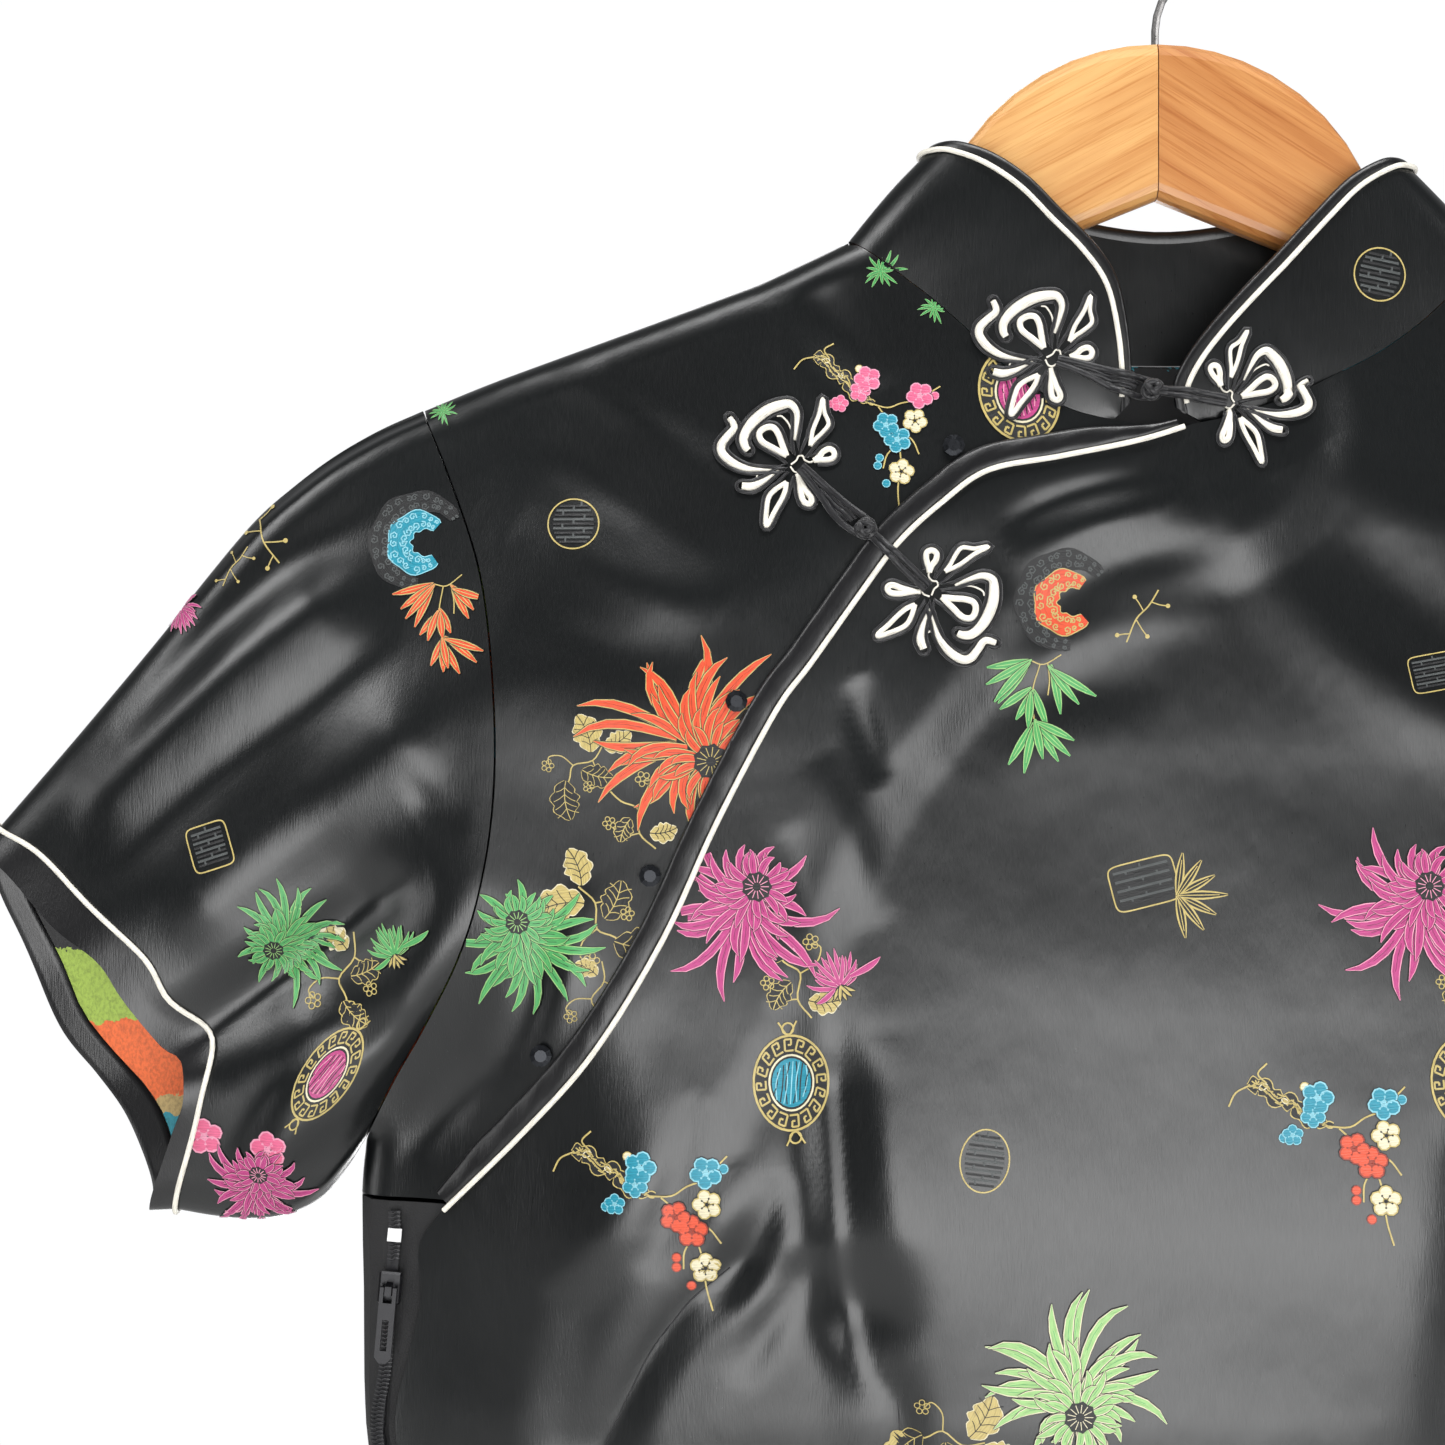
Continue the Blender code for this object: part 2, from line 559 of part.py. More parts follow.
# Sleeves
def patch(share, down, top, underarm, start, end):
    """Point of a four-sided patch from its four edges."""
    upper, lower = top.at(share), underarm.at(share)
    near, far = start.at(down), end.at(down)
    corners = (top.at(0.0) * (1.0 - down) + underarm.at(0.0) * down) * (1.0 - share)
    corners += (top.at(1.0) * (1.0 - down) + underarm.at(1.0) * down) * share
    return near * (1.0 - share) + far * share + upper * (1.0 - down) + lower * down - corners


SLEEVE_PATHS = {
    "top": Path(SLEEVE_TOP), "underarm": Path(SLEEVE_UNDERARM), "hem_front": Path(HEM_FRONT),
    "hem_back": Path(HEM_BACK), "band_front": Path(BAND_FRONT), "band_back": Path(BAND_BACK),
    "armhole": Path([(x + ARMHOLE_GAP, z) for x, z in ARMHOLE]),
}


def sleeve_point(share, turn):
    """Point of a sleeve: share 0 to 1 runs to the piping and 1 to 2 over the band, turn goes round."""
    paths = SLEEVE_PATHS
    front = turn <= math.pi
    down = (1.0 - math.cos(turn if front else 2.0 * math.pi - turn)) / 2.0
    facing = -1.0 if front else 1.0
    hem = paths["hem_front"] if front else paths["hem_back"]
    band = paths["band_front"] if front else paths["band_back"]
    reach = min(share, 1.0)
    place = patch(reach, down, paths["top"], paths["underarm"], paths["armhole"], hem)
    if share > 1.0:
        place = hem.at(down).lerp(band.at(down), share - 1.0)
    height = lerp(206.0, 112.0, reach)
    distance = min(down, 1.0 - down) * height
    cosine = 1.0 - min(distance / EDGE_REACH, 1.0)
    full = (18.0 if front else 15.0) - EDGE_DEPTH
    puff = EDGE_DEPTH * math.sqrt(1.0 - cosine ** 2) + full * smooth(distance / SLEEVE_RISE)
    start = paths["armhole"].at(down)
    joint = abs(body_point(start.x, start.y, facing).y) * smooth(distance / 4.0)
    blend = smooth(reach * 1.6)
    depth = lerp(joint, puff, blend)
    if front:
        depth += folds(-place.x, place.y, SLEEVE_FOLDS) * smooth(distance / 20.0) * smooth(reach * 5.0)
    return Vector((place.x, facing * depth, place.y))


def sleeve_grid(first, last, rows, side, turns=26):
    grid = []
    for row in range(rows):
        share = lerp(first, last, row / (rows - 1))
        ring = [sleeve_point(share, 2.0 * math.pi * step / turns) for step in range(turns)]
        grid.append([Vector((side * point.x, point.y, point.z)) for point in ring])
    return grid


def sleeve(name, side):
    grid = sleeve_grid(0.0, 1.0, 9, side)
    wall(f"sleeve_{name}", grid, thickened(grid, CLOTH, True, side > 0.0), "brocade", True)
    band = sleeve_grid(1.05, 2.0, 3, side)
    wall(f"sleeve_band_{name}", band, thickened(band, CLOTH, True, side > 0.0), "satin", True)
    outward = thickened(grid, -(PIPING_RADIUS + 0.35), True, side > 0.0)[-1]
    cord(f"sleeve_piping_{name}", outward, PIPING_RADIUS, "piping", True)


# Collar
NECK_LEFT_PATH, NECK_RIGHT_PATH, NECK_BACK_PATH = Path(NECK_LEFT), Path(NECK_RIGHT), Path(NECK_BACK)
COLLAR_LIFT = 0.8
COLLAR_STEPS = 2


def neck_point(place):
    """Point of the neckline; place is the first column of COLLAR."""
    if place < 0.0:
        seam, facing = NECK_LEFT_PATH.at(-place), -1.0
    elif place > 1.0:
        seam, facing = NECK_RIGHT_PATH.at(place - 1.0), -1.0
    else:
        seam, facing = NECK_BACK_PATH.at(place), 1.0
    point = body_point(seam.x, seam.y, facing)
    if place in (0.0, 1.0):
        point.y = 0.0
    return point


def collar_rulings():
    """Foot and top of the collar at even steps round the neck."""
    tops = Path([row[1:] for row in COLLAR], COLLAR_STEPS).points
    places = []
    for near, far in zip(COLLAR, COLLAR[1:]):
        places += [lerp(near[0], far[0], step / COLLAR_STEPS) for step in range(COLLAR_STEPS)]
    places.append(COLLAR[-1][0])
    return [(neck_point(place), top) for place, top in zip(places, tops)]


def collar_grid(low, high, rows, rulings):
    """Rows between two heights; a negative height is measured down from the upper edge."""
    grid = []
    for row in range(rows):
        line = []
        for foot, top in rulings:
            height = (top - foot).length
            start = min(low if low >= 0.0 else height + low, height - 0.8)
            end = height + high if high <= 0.0 else high
            along = lerp(start, max(end, start + 0.6), row / (rows - 1))
            line.append(foot.lerp(top, along / height))
        grid.append(line)
    return grid


def collar():
    rulings = collar_rulings()
    body = collar_grid(COLLAR_LIFT, -COLLAR_BINDING - 0.35, 4, rulings)
    wall("collar", body, thickened(body, COLLAR_WALL), "brocade")
    rim = collar_grid(-COLLAR_BINDING, 0.0, 2, rulings)
    wall("collar_binding", rim, thickened(rim, COLLAR_WALL), "satin")
    seam = collar_grid(-COLLAR_BINDING - 0.4, 0.0, 2, rulings)
    outward = thickened(seam, -(PIPING_RADIUS + 0.35))[0]
    cord("collar_piping", outward[2:-2], PIPING_RADIUS, "piping")


# Strips and cords that lie on the front
def strip(name, path, shares, inner_side, outer_side, level, thickness, material_name):
    """Strip along a path of the front; the sides are distances to the right of the path as it runs."""
    outer, inner = [], []
    for share in shares:
        point, square = path.at(share), path.side(share)
        rows = []
        for reach in (inner_side, (inner_side + outer_side(share)) / 2.0, outer_side(share)):
            place = point + square * reach
            rows.append((place.x, place.y))
        outer.append([body_point(x, z, -1.0, level + thickness) for x, z in rows])
        inner.append([body_point(x, z, -1.0, level) for x, z in rows])
    return wall(name, outer, inner, material_name)


def opening_trim():
    def width(share):
        return lerp(2.6, BINDING_WIDTH, smooth(share * 9.0)) - 2.0 * smooth((share - 0.93) / 0.07)

    shares = [step / OPENING_STEPS for step in range(1, OPENING_STEPS)]
    shares = [0.5 / OPENING_STEPS, *shares, 1.0 - 0.25 / OPENING_STEPS]
    strip("opening_binding", OPENING_PATH, shares, 0.5, width, FLAP_LIFT - CLOTH, CLOTH, "satin")
    seam = [body_point(place.x, place.y, -1.0, FLAP_LIFT + PIPING_RADIUS + 0.35)
            for place in OPENING_PATH.sample(OPENING_STEPS + 1)]
    points = [seam[0].lerp(seam[1], 0.25)]
    for near, far in zip(seam, seam[1:]):
        points += [near.lerp(far, 0.5), far]
    cord("opening_piping", points, PIPING_RADIUS, "piping")


def zip_pieces():
    outer, inner = [], []
    rows = 18
    for row in range(rows):
        z = lerp(ZIP_TOP_Z - 0.3, ZIP_END_Z + 2.0, row / (rows - 1))
        left, right = -x_at(SIDE_LINE, z), x_at(ZIP_EDGE, z) + 5.0
        outer_row, inner_row = [], []
        for share in (0.0, 0.12, 0.3, 0.5, 0.75, 1.0):
            x = lerp(left, right, share)
            outer_row.append(body_point(x, z, -1.0))
            inner_row.append(body_point(x, z, -1.0, 0.0, TAPE))
        outer.append(outer_row)
        inner.append(inner_row)
    wall("zip_tape", outer, inner, "zip")
    shares = [lerp(0.012, 0.985, step / 21.0) for step in range(22)]
    strip("zip_chain", CHAIN_PATH, shares, -1.5, lambda share: 1.5, 0.7, 1.2, "zip")
    place = zip_place(-393.6)
    block("zip_stop", ((-2.9, -1.8), (-2.2, -1.8), (-2.2, 1.8), (-2.9, 1.8)), 1.9, place, "stop")
    place = zip_place(SLIDER_Z)
    front = -2.9
    half = SLIDER_LENGTH / 2.0
    plate = front - SLIDER_THICKNESS
    lug = plate - LUG_HEIGHT
    slider = block("zip_slider", ((front, -half), (front, half), (plate, half), (plate, -half)),
                   SLIDER_WIDTH / 2.0, place, "zip", 0.6)
    lug_block = block("zip_slider_lug", ((plate + 0.9, -2.0), (plate + 0.9, 2.0), (lug, 1.3), (lug, -1.3)),
                      LUG_HALF_WIDTH, place, "zip")
    lug_block.hide_render = True
    lug_block.display_type = "WIRE"
    union = slider.modifiers.new("lug", "BOOLEAN")
    union.operation = "UNION"
    union.object = lug_block
    pull_tab(place, plate - PIVOT_HEIGHT)


def zip_place(z):
    """Placement of a piece of the zip: its y runs into the cloth, its z along the chain."""
    share = min(range(1001), key=lambda step: abs(CHAIN_PATH.at(step / 1000.0).y - z)) / 1000.0
    point = CHAIN_PATH.at(share)
    return Matrix.Translation(body_point(point.x, point.y, -1.0)) @ Matrix.Rotation(ZIP_TILT, 4, "Y")


def pull_tab(place, pivot_y):
    """Flat tab whose forked head straddles the slider's lug; its origin is on the hinge's axis."""
    half = PULL_WIDTH / 2.0
    ear = LUG_HALF_WIDTH + 0.35
    bottom = -PULL_LENGTH
    outline = [(-half, 0.9), (-ear, 0.9), (-ear, -3.4), (ear, -3.4), (ear, 0.9), (half, 0.9),
               (half, bottom + 1.6), (half - 1.4, bottom), (-half + 1.4, bottom), (-half, bottom + 1.6)]
    slot = [(-0.9, -8.0), (0.9, -8.0), (0.9, -16.5), (-0.9, -16.5)]
    bm = bmesh.new()
    skins = []
    for y in (-PULL_THICKNESS / 2.0, PULL_THICKNESS / 2.0):
        skins.append([[bm.verts.new((x, y, z)) for x, z in rim] for rim in (outline, slot)])
    for rim in (0, 1):
        count = len(skins[0][rim])
        for step in range(count):
            after = (step + 1) % count
            low, high = skins[0][rim], skins[1][rim]
            bm.faces.new((low[step], low[after], high[after], high[step]))
    for rims in skins:
        edges = []
        for rim in rims:
            for step in range(len(rim)):
                edges.append(bm.edges.get((rim[step], rim[(step + 1) % len(rim)])))
        bmesh.ops.triangle_fill(bm, edges=edges, use_beauty=True, use_dissolve=False)
    made = finish("zip_pull", bm, "zip", soft=False)
    made.matrix_world = scaled_place(place @ Matrix.Translation((0.0, pivot_y, 0.0)))
    return made


def scaled_place(place):
    """The same placement with its shift in metres."""
    return Matrix.Translation(place.to_translation() * MM) @ place.to_3x3().to_4x4()


# What lies on the finished panels
def surface_of(names):
    """Function that gives the front-most y of the named solids at a place, in millimetres."""
    bpy.context.view_layer.update()
    depsgraph = bpy.context.evaluated_depsgraph_get()
    trees = [BVHTree.FromObject(bpy.data.objects[name], depsgraph) for name in names]

    def front_y(x, z, around=0.0):
        hits = []
        reach = around
        while not hits:
            for dx, dz in ((0.0, 0.0), (reach, 0.0), (-reach, 0.0), (0.0, reach), (0.0, -reach)):
                for tree in trees:
                    start = Vector(((x + dx) * MM, -0.2, (z + dz) * MM))
                    hit = tree.ray_cast(start, Vector((0.0, 1.0, 0.0)))[0]
                    if hit is not None:
                        hits.append(hit.y / MM)
            reach += 2.0
        return min(hits)

    return front_y


def frog_outline(turn):
    """Outline of the looped cord round its hub: each lobe swells and falls back to the hub."""
    points = []
    steps = 7
    for direction, reach in FROG_LOBES:
        for step in range(steps):
            swing = (step / (steps - 1) - 0.5) * 2.0
            angle = math.radians(direction + turn + swing * FROG_HALF_SPREAD)
            radius = lerp(FROG_HUB_RADIUS, reach, math.cos(swing * math.pi / 2.0) ** 0.8)
            points.append(Vector((radius * math.cos(angle), radius * math.sin(angle))))
    return points


def frogs(front_y):
    for name, x, z, turn in FROGS:
        points = []
        for offset in frog_outline(turn):
            px, pz = x + offset.x, z + offset.y
            points.append(Vector((px, front_y(px, pz, 2.0) - CORD_RADIUS - 0.15, pz)))
        count = len(points)
        nearest = [min(points[step - 1].y, points[step].y, points[(step + 1) % count].y)
                   for step in range(count)]
        for point, y in zip(points, nearest):
            point.y = y
        cord(name, points, CORD_RADIUS, "piping", True)


def fastenings(front_y):
    for name, x, z, from_x, from_z, to_x, to_z in FASTENINGS:
        knot = Vector((x, front_y(x, z, 3.0) - KNOT_RADIUS - 1.4, z))
        away = Vector((to_x - x, to_z - z))
        reach = away.length - FROG_EDGE + 0.6
        foot = Vector((x, z)) + away.normalized() * reach
        stem = Vector((foot.x, min(front_y(foot.x, foot.y, 1.6) - STEM_RADIUS - 0.5, knot.y + 2.4), foot.y))
        profile = [(-KNOT_RADIUS, 0.0), (-0.75 * KNOT_RADIUS, 0.66 * KNOT_RADIUS), (0.0, KNOT_RADIUS),
                   (0.75 * KNOT_RADIUS, 0.66 * KNOT_RADIUS), (KNOT_RADIUS, STEM_RADIUS),
                   ((stem - knot).length, STEM_RADIUS), ((stem - knot).length, 0.0)]
        turned(f"knot_{name}", profile, knot, stem, "satin", 10)
        crossing = lerp(knot.y, stem.y, LOOP_RING / (stem - knot).length)
        level = min(knot.y - 0.9, crossing - STEM_RADIUS - CORD_RADIUS - 0.4)
        loop_cord(name, knot, Vector((from_x, from_z)), level, front_y)


def loop_cord(name, knot, hub, level, front_y):
    """Looped cord that comes from one frog, goes round the knot's neck and returns."""
    middle = Vector((knot.x, knot.z))
    away = (middle - hub).normalized()
    square = Vector((-away.y, away.x))
    start = hub + away * FROG_EDGE
    places = [(*(start + square * 1.4), 0.0)]
    for step in range(9):
        angle = math.radians(lerp(140.0, -140.0, step / 8.0))
        rise = smooth((math.cos(angle) + 0.8) / 1.2)
        place = middle + away * (LOOP_RING * math.cos(angle)) + square * (LOOP_RING * math.sin(angle))
        places.append((*place, rise))
    places.append((*(start - square * 1.4), 0.0))
    points = []
    for x, z, rise in Path(places, 2).points:
        y = front_y(x, z, 2.0) - CORD_RADIUS - 0.3
        points.append(Vector((x, lerp(y, min(y, level), rise), z)))
    ends = [points[0], *points, points[-1]]
    nearest = [min(a.y, b.y, c.y) for a, b, c in zip(ends, ends[1:], ends[2:])]
    for point, y in zip(points, nearest):
        point.y = y
    cord(f"loop_{name}", points, CORD_RADIUS, "satin")


def studs(front_y):
    """Press studs, set just past the edge of the binding on the under flap."""
    rows = [[0.0, 0.0], [0.0, STUD_RADIUS], [0.8, STUD_RADIUS], [1.3, STUD_RADIUS * 0.55], [1.3, 0.0]]
    places = [OPENING_PATH.at(step / 400.0) for step in range(401)]
    for number, (x, z) in enumerate(STUDS, 1):
        share = min(range(401), key=lambda step: (places[step] - Vector((x, z))).length) / 400.0
        clear = BINDING_WIDTH + STUD_RADIUS + 0.5
        place = OPENING_PATH.at(share) + OPENING_PATH.side(share) * clear
        y = front_y(place.x, place.y, STUD_RADIUS + 0.2) - 0.3
        foot = Vector((place.x, y, place.y))
        turned(f"press_stud_{number}", rows, foot, foot + Vector((0.0, -1.0, 0.0)), "stud", 10)


# Hanger
def hanger_top(x):
    line = z_at(SHOULDER, x) - z_at(ARM_CLEARANCE, x)
    if x >= HUMP_RADIUS:
        return line
    arc = HUMP_TOP_Z - HUMP_RADIUS + math.sqrt(HUMP_RADIUS ** 2 - x ** 2)
    return max(arc, line) if x > 30.0 else arc


def hanger_arm(name, side):
    stations = [SEAM, 8.0, 16.0, 24.0, 32.0, 40.0, 47.0, 53.0, 58.0, 61.5, 66.0, 80.0, 95.0, 111.0, 128.0,
                145.0, 165.0, 182.0, ARM_END_X - 1.5, ARM_END_X]
    outer = []
    for x in stations:
        top, bottom = hanger_top(x), NOTCH_Z - ARM_UNDER_SLOPE * x
        shrink = 0.0 if x < ARM_END_X - 2.0 else (x - ARM_END_X + 1.5) / 1.5 * 3.0
        half = HANGER_HALF_THICKNESS - shrink * 0.8
        round_off = min(HANGER_ROUNDING, half - 0.3)
        ring = []
        corners = ((1.0, 1.0, 0.0), (-1.0, 1.0, 90.0), (-1.0, -1.0, 180.0), (1.0, -1.0, 270.0))
        for corner_y, corner_z, quarter in corners:
            centre_y = corner_y * (half - round_off)
            centre_z = (top - shrink - round_off) if corner_z > 0.0 else (bottom + shrink + round_off)
            for step in range(4):
                angle = math.radians(quarter + 30.0 * step)
                ring.append(Vector((side * x, centre_y + round_off * math.cos(angle),
                                    centre_z + round_off * math.sin(angle))))
        outer.append(ring)
    bm = bmesh.new()
    rings = [[bm.verts.new(point) for point in ring] for ring in outer]
    for low, high in zip(rings, rings[1:]):
        for step in range(len(low)):
            after = (step + 1) % len(low)
            bm.faces.new((low[step], low[after], high[after], high[step]))
    bm.faces.new(rings[0])
    bm.faces.new(rings[-1])
    arm = finish(name, bm, "wood")
    bore = arm.modifiers.new("bore", "BOOLEAN")
    bore.operation = "DIFFERENCE"
    bore.object = bpy.data.objects["hook_bore"]
    return arm


def hook_bore():
    foot, top = ROD_FOOT_Z - BORE_CLEARANCE, HUMP_TOP_Z + 4.0
    radius = ROD_RADIUS + BORE_CLEARANCE
    rows = [(0.0, 0.0), (0.0, radius), (top - foot, radius), (top - foot, 0.0)]
    cutter = turned("hook_bore", rows, Vector((0.0, 0.0, foot)), Vector((0.0, 0.0, top)), "steel", 16)
    cutter.hide_render = True
    cutter.display_type = "WIRE"


def hook():
    centre_z = ROD_RADIUS - HOOK_ARC_RADIUS
    points = [(x, 0.0, z) for x, z in HOOK_STEM]
    for step in range(13):
        angle = math.radians(lerp(-18.0, 196.0, step / 12.0))
        points.append((HOOK_ARC_RADIUS * math.cos(angle), 0.0, centre_z + HOOK_ARC_RADIUS * math.sin(angle)))
    path = Path(points, 4)
    cord("hanger_hook", path.sample(32), ROD_RADIUS, "steel", resolution=2)


def build():
    for old in list(bpy.data.objects):
        bpy.data.objects.remove(old, do_unlink=True)
    hook_bore()
    hanger_arm("hanger_arm_left", -1.0)
    hanger_arm("hanger_arm_right", 1.0)
    hook()
    back_panel()
    main_front()
    under_flap()
    sleeve("left", -1.0)
    sleeve("right", 1.0)
    collar()
    opening_trim()
    zip_pieces()
    front_y = surface_of(("front_panel", "under_flap", "collar", "collar_binding", "collar_piping",
                          "opening_binding", "opening_piping"))
    frogs(front_y)
    fastenings(front_y)
    studs(surface_of(("under_flap",)))


build()
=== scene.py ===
"""Looks of the cheongsam on its hanger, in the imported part's own frame.

Metres, +Z up, the front faces -Y. The tables are in millimetres, and MM turns them into metres.
"""
import math
import random

import bmesh
import bpy
import numpy as np
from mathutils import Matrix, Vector
from mathutils.bvhtree import BVHTree


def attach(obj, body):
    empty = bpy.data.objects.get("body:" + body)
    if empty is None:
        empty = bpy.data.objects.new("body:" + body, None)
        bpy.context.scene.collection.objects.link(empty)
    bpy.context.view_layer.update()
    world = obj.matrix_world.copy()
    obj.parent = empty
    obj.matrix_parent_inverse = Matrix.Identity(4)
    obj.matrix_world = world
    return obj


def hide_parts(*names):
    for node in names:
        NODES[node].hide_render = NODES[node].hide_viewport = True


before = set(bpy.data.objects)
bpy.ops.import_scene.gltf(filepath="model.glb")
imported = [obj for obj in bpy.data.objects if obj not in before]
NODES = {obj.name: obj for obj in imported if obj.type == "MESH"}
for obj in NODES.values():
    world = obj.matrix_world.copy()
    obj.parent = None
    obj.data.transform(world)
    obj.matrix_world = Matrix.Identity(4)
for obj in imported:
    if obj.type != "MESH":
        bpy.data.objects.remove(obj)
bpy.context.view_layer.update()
MM = 0.001

# Driving dimensions, the same as the part's
HEM_Z = -1097.0
SLIT_TOP_Z = -850.0
SLIT_GAPE = 3.0
ZIP_TOP_Z = -384.5
ZIP_END_Z = -606.0
CLOTH = 1.2
COLLAR_WALL = 1.6
SEAM = 0.15
ARMHOLE_GAP = 0.55
EDGE_DEPTH = 8.0
EDGE_REACH = 10.0
BODY_RISE = 85.0
SLEEVE_RISE = 42.0
OVERLAP = 20.0
FLAP_LIFT = 2.7
BINDING_WIDTH = 7.0
PIPING_RADIUS = 0.75
COLLAR_BINDING = 3.0
COLLAR_LIFT = 0.8
SHOULDER_TILT = math.radians(22.4)
NECK_POINT_LEFT = (-86.5, -117.0)
NECK_POINT_RIGHT_X = 94.0
UNDERARM_Z = -369.5
FLAP_END_Z = -383.6
LEVEL_ROWS_Z = -205.0      # above it the back's rows follow the shoulders and the neck
RAY_START = 120.0          # how far in front of the garment a search ray starts

# Outlines in the plane of the garment: columns x, z
SHOULDER = ((0.0, -78.0), (86.5, -117.0), (111.0, -128.6), (145.0, -141.2), (184.5, -155.6), (205.6, -164.2))
ARMHOLE = ((205.6, -164.2), (198.2, -181.8), (189.2, -207.1), (185.1, -229.3), (183.2, -255.0),
           (184.0, -278.0), (187.5, -299.0), (193.6, -316.9), (203.6, -336.0), (212.5, -351.0), (222.0, -369.5))
SIDE = ((222.0, -369.5), (223.2, -384.0), (222.8, -410.0), (221.6, -455.0), (213.0, -490.0), (201.5, -525.0),
        (196.5, -556.0), (202.0, -602.0), (221.0, -668.0), (233.5, -735.0), (232.0, -850.0), (224.0, -980.0),
        (216.0, HEM_Z))
# Depth of the front and of the back by height: columns z, front, back
DEPTHS = ((-78.0, 13.5, 12.0), (-165.0, 17.5, 14.0), (-200.0, 21.0, 15.0), (-260.0, 26.0, 15.0),
          (-330.0, 31.0, 15.0), (-390.0, 34.0, 15.0), (-440.0, 32.0, 15.0), (-500.0, 26.0, 15.0),
          (-600.0, 24.0, 18.0), (-700.0, 25.0, 22.0), (-850.0, 21.0, 19.0), (HEM_Z, 17.0, 17.0))
NECK_LEFT = ((-86.5, -117.0), (-81.3, -120.6), (-72.6, -127.2), (-62.7, -135.1), (-54.2, -143.1),
             (-47.6, -150.0), (-40.0, -156.6), (-29.2, -164.5), (-18.3, -168.2), (-3.0, -170.4))
NECK_RIGHT = ((94.0, -120.6), (88.0, -126.5), (78.6, -135.0), (70.6, -142.0), (59.0, -150.0),
              (45.5, -156.8), (36.4, -161.3), (20.0, -167.4), (6.5, -170.4))
NECK_BACK = ((-86.5, -117.0), (-79.0, -126.0), (-64.0, -136.0), (-42.0, -144.0), (-18.0, -149.0),
             (3.0, -150.0), (24.0, -149.4), (48.0, -145.5), (70.0, -138.5), (86.0, -129.0), (94.0, -120.6))
OPENING = ((6.5, -170.4), (-8.1, -174.9), (-29.9, -179.4), (-49.5, -183.2), (-62.5, -192.3), (-74.3, -203.3),
           (-85.3, -218.1), (-98.1, -236.1), (-107.6, -249.1), (-123.5, -279.2), (-137.8, -310.1),
           (-156.2, -340.1), (-175.6, -362.7), (-198.3, -385.8))
ZIP_EDGE = ((-198.3, -385.8), (-205.5, -396.0), (-205.0, -411.0), (-208.6, -427.0), (-212.2, -449.0),
            (-203.0, -487.0), (-190.4, -522.0), (-185.8, -556.0), (-187.4, -590.0), (-190.6, ZIP_END_Z))
ZIP_CHAIN = ((-212.6, ZIP_TOP_Z), (-212.6, -396.0), (-213.9, -412.0), (-215.0, -431.0), (-216.8, -452.0),
             (-207.2, -487.0), (-194.8, -522.0), (-190.2, -556.0), (-191.8, -590.0), (-194.6, -604.0))
# Collar: columns place round the neck, then x, y, z of the upper edge
COLLAR = ((-0.885, -10.4, -18.8, -164.5), (-0.82, -10.0, -19.0, -155.5), (-0.72, -11.2, -19.2, -142.5),
          (-0.62, -14.2, -18.8, -129.5), (-0.52, -20.5, -18.0, -119.8), (-0.42, -29.2, -16.8, -110.6),
          (-0.31, -37.7, -15.2, -101.5), (-0.19, -47.3, -12.8, -94.4), (-0.075, -56.5, -9.2, -90.4),
          (-0.02, -61.8, -4.6, -90.0), (0.0, -63.5, 0.0, -90.8), (0.02, -61.5, 4.6, -91.4),
          (0.075, -56.5, 8.8, -93.0), (0.18, -46.0, 10.6, -98.0), (0.33, -25.0, 12.2, -107.0),
          (0.5, 2.0, 13.0, -111.5), (0.67, 28.0, 12.4, -108.5), (0.82, 51.0, 10.8, -100.5),
          (0.925, 62.5, 8.8, -96.6), (0.98, 68.0, 4.6, -95.4), (1.0, 70.0, 0.0, -95.0),
          (1.02, 68.0, -4.6, -94.4), (1.075, 62.0, -9.2, -95.2), (1.18, 52.0, -12.6, -101.0),
          (1.29, 42.4, -14.8, -110.4), (1.43, 30.0, -16.8, -123.7), (1.55, 20.8, -18.0, -133.2),
          (1.68, 11.6, -19.0, -143.4), (1.8, 5.1, -19.6, -152.2), (1.9, 1.8, -19.8, -159.7),
          (1.965, 2.6, -19.4, -166.0))
SLEEVE_TOP = ((206.0, -164.0), (218.3, -169.5), (230.9, -176.8), (242.2, -185.2), (253.5, -195.2),
              (267.5, -211.8), (280.2, -228.0), (302.7, -255.0), (325.3, -281.3))
SLEEVE_UNDERARM = ((222.5, -369.8), (227.5, -377.5), (234.5, -385.6), (244.0, -390.4), (254.9, -391.6),
                   (264.7, -390.8), (275.3, -388.9))
HEM_FRONT = ((325.3, -281.3), (311.7, -287.8), (296.5, -301.6), (280.3, -316.4), (274.0, -328.0),
             (265.0, -336.0), (262.3, -342.5), (265.1, -355.0), (267.8, -365.0), (273.0, -381.0), (275.3, -388.9))
HEM_BACK = ((325.3, -281.3), (322.6, -293.0), (318.9, -304.5), (311.0, -322.0), (305.4, -335.3),
            (296.1, -347.1), (285.6, -358.5), (279.3, -370.0), (275.3, -388.9))
BAND_FRONT = ((332.0, -287.5), (322.8, -292.0), (306.1, -308.2), (293.5, -317.5), (286.5, -328.0),
              (276.5, -341.1), (271.2, -345.5), (270.3, -356.4), (274.0, -366.0), (279.5, -380.0), (282.8, -389.2))
BAND_BACK = ((332.0, -287.5), (327.7, -301.3), (323.5, -312.0), (312.8, -338.4), (301.9, -352.6),
             (293.1, -363.8), (287.2, -374.6), (284.0, -383.0), (282.8, -389.2))

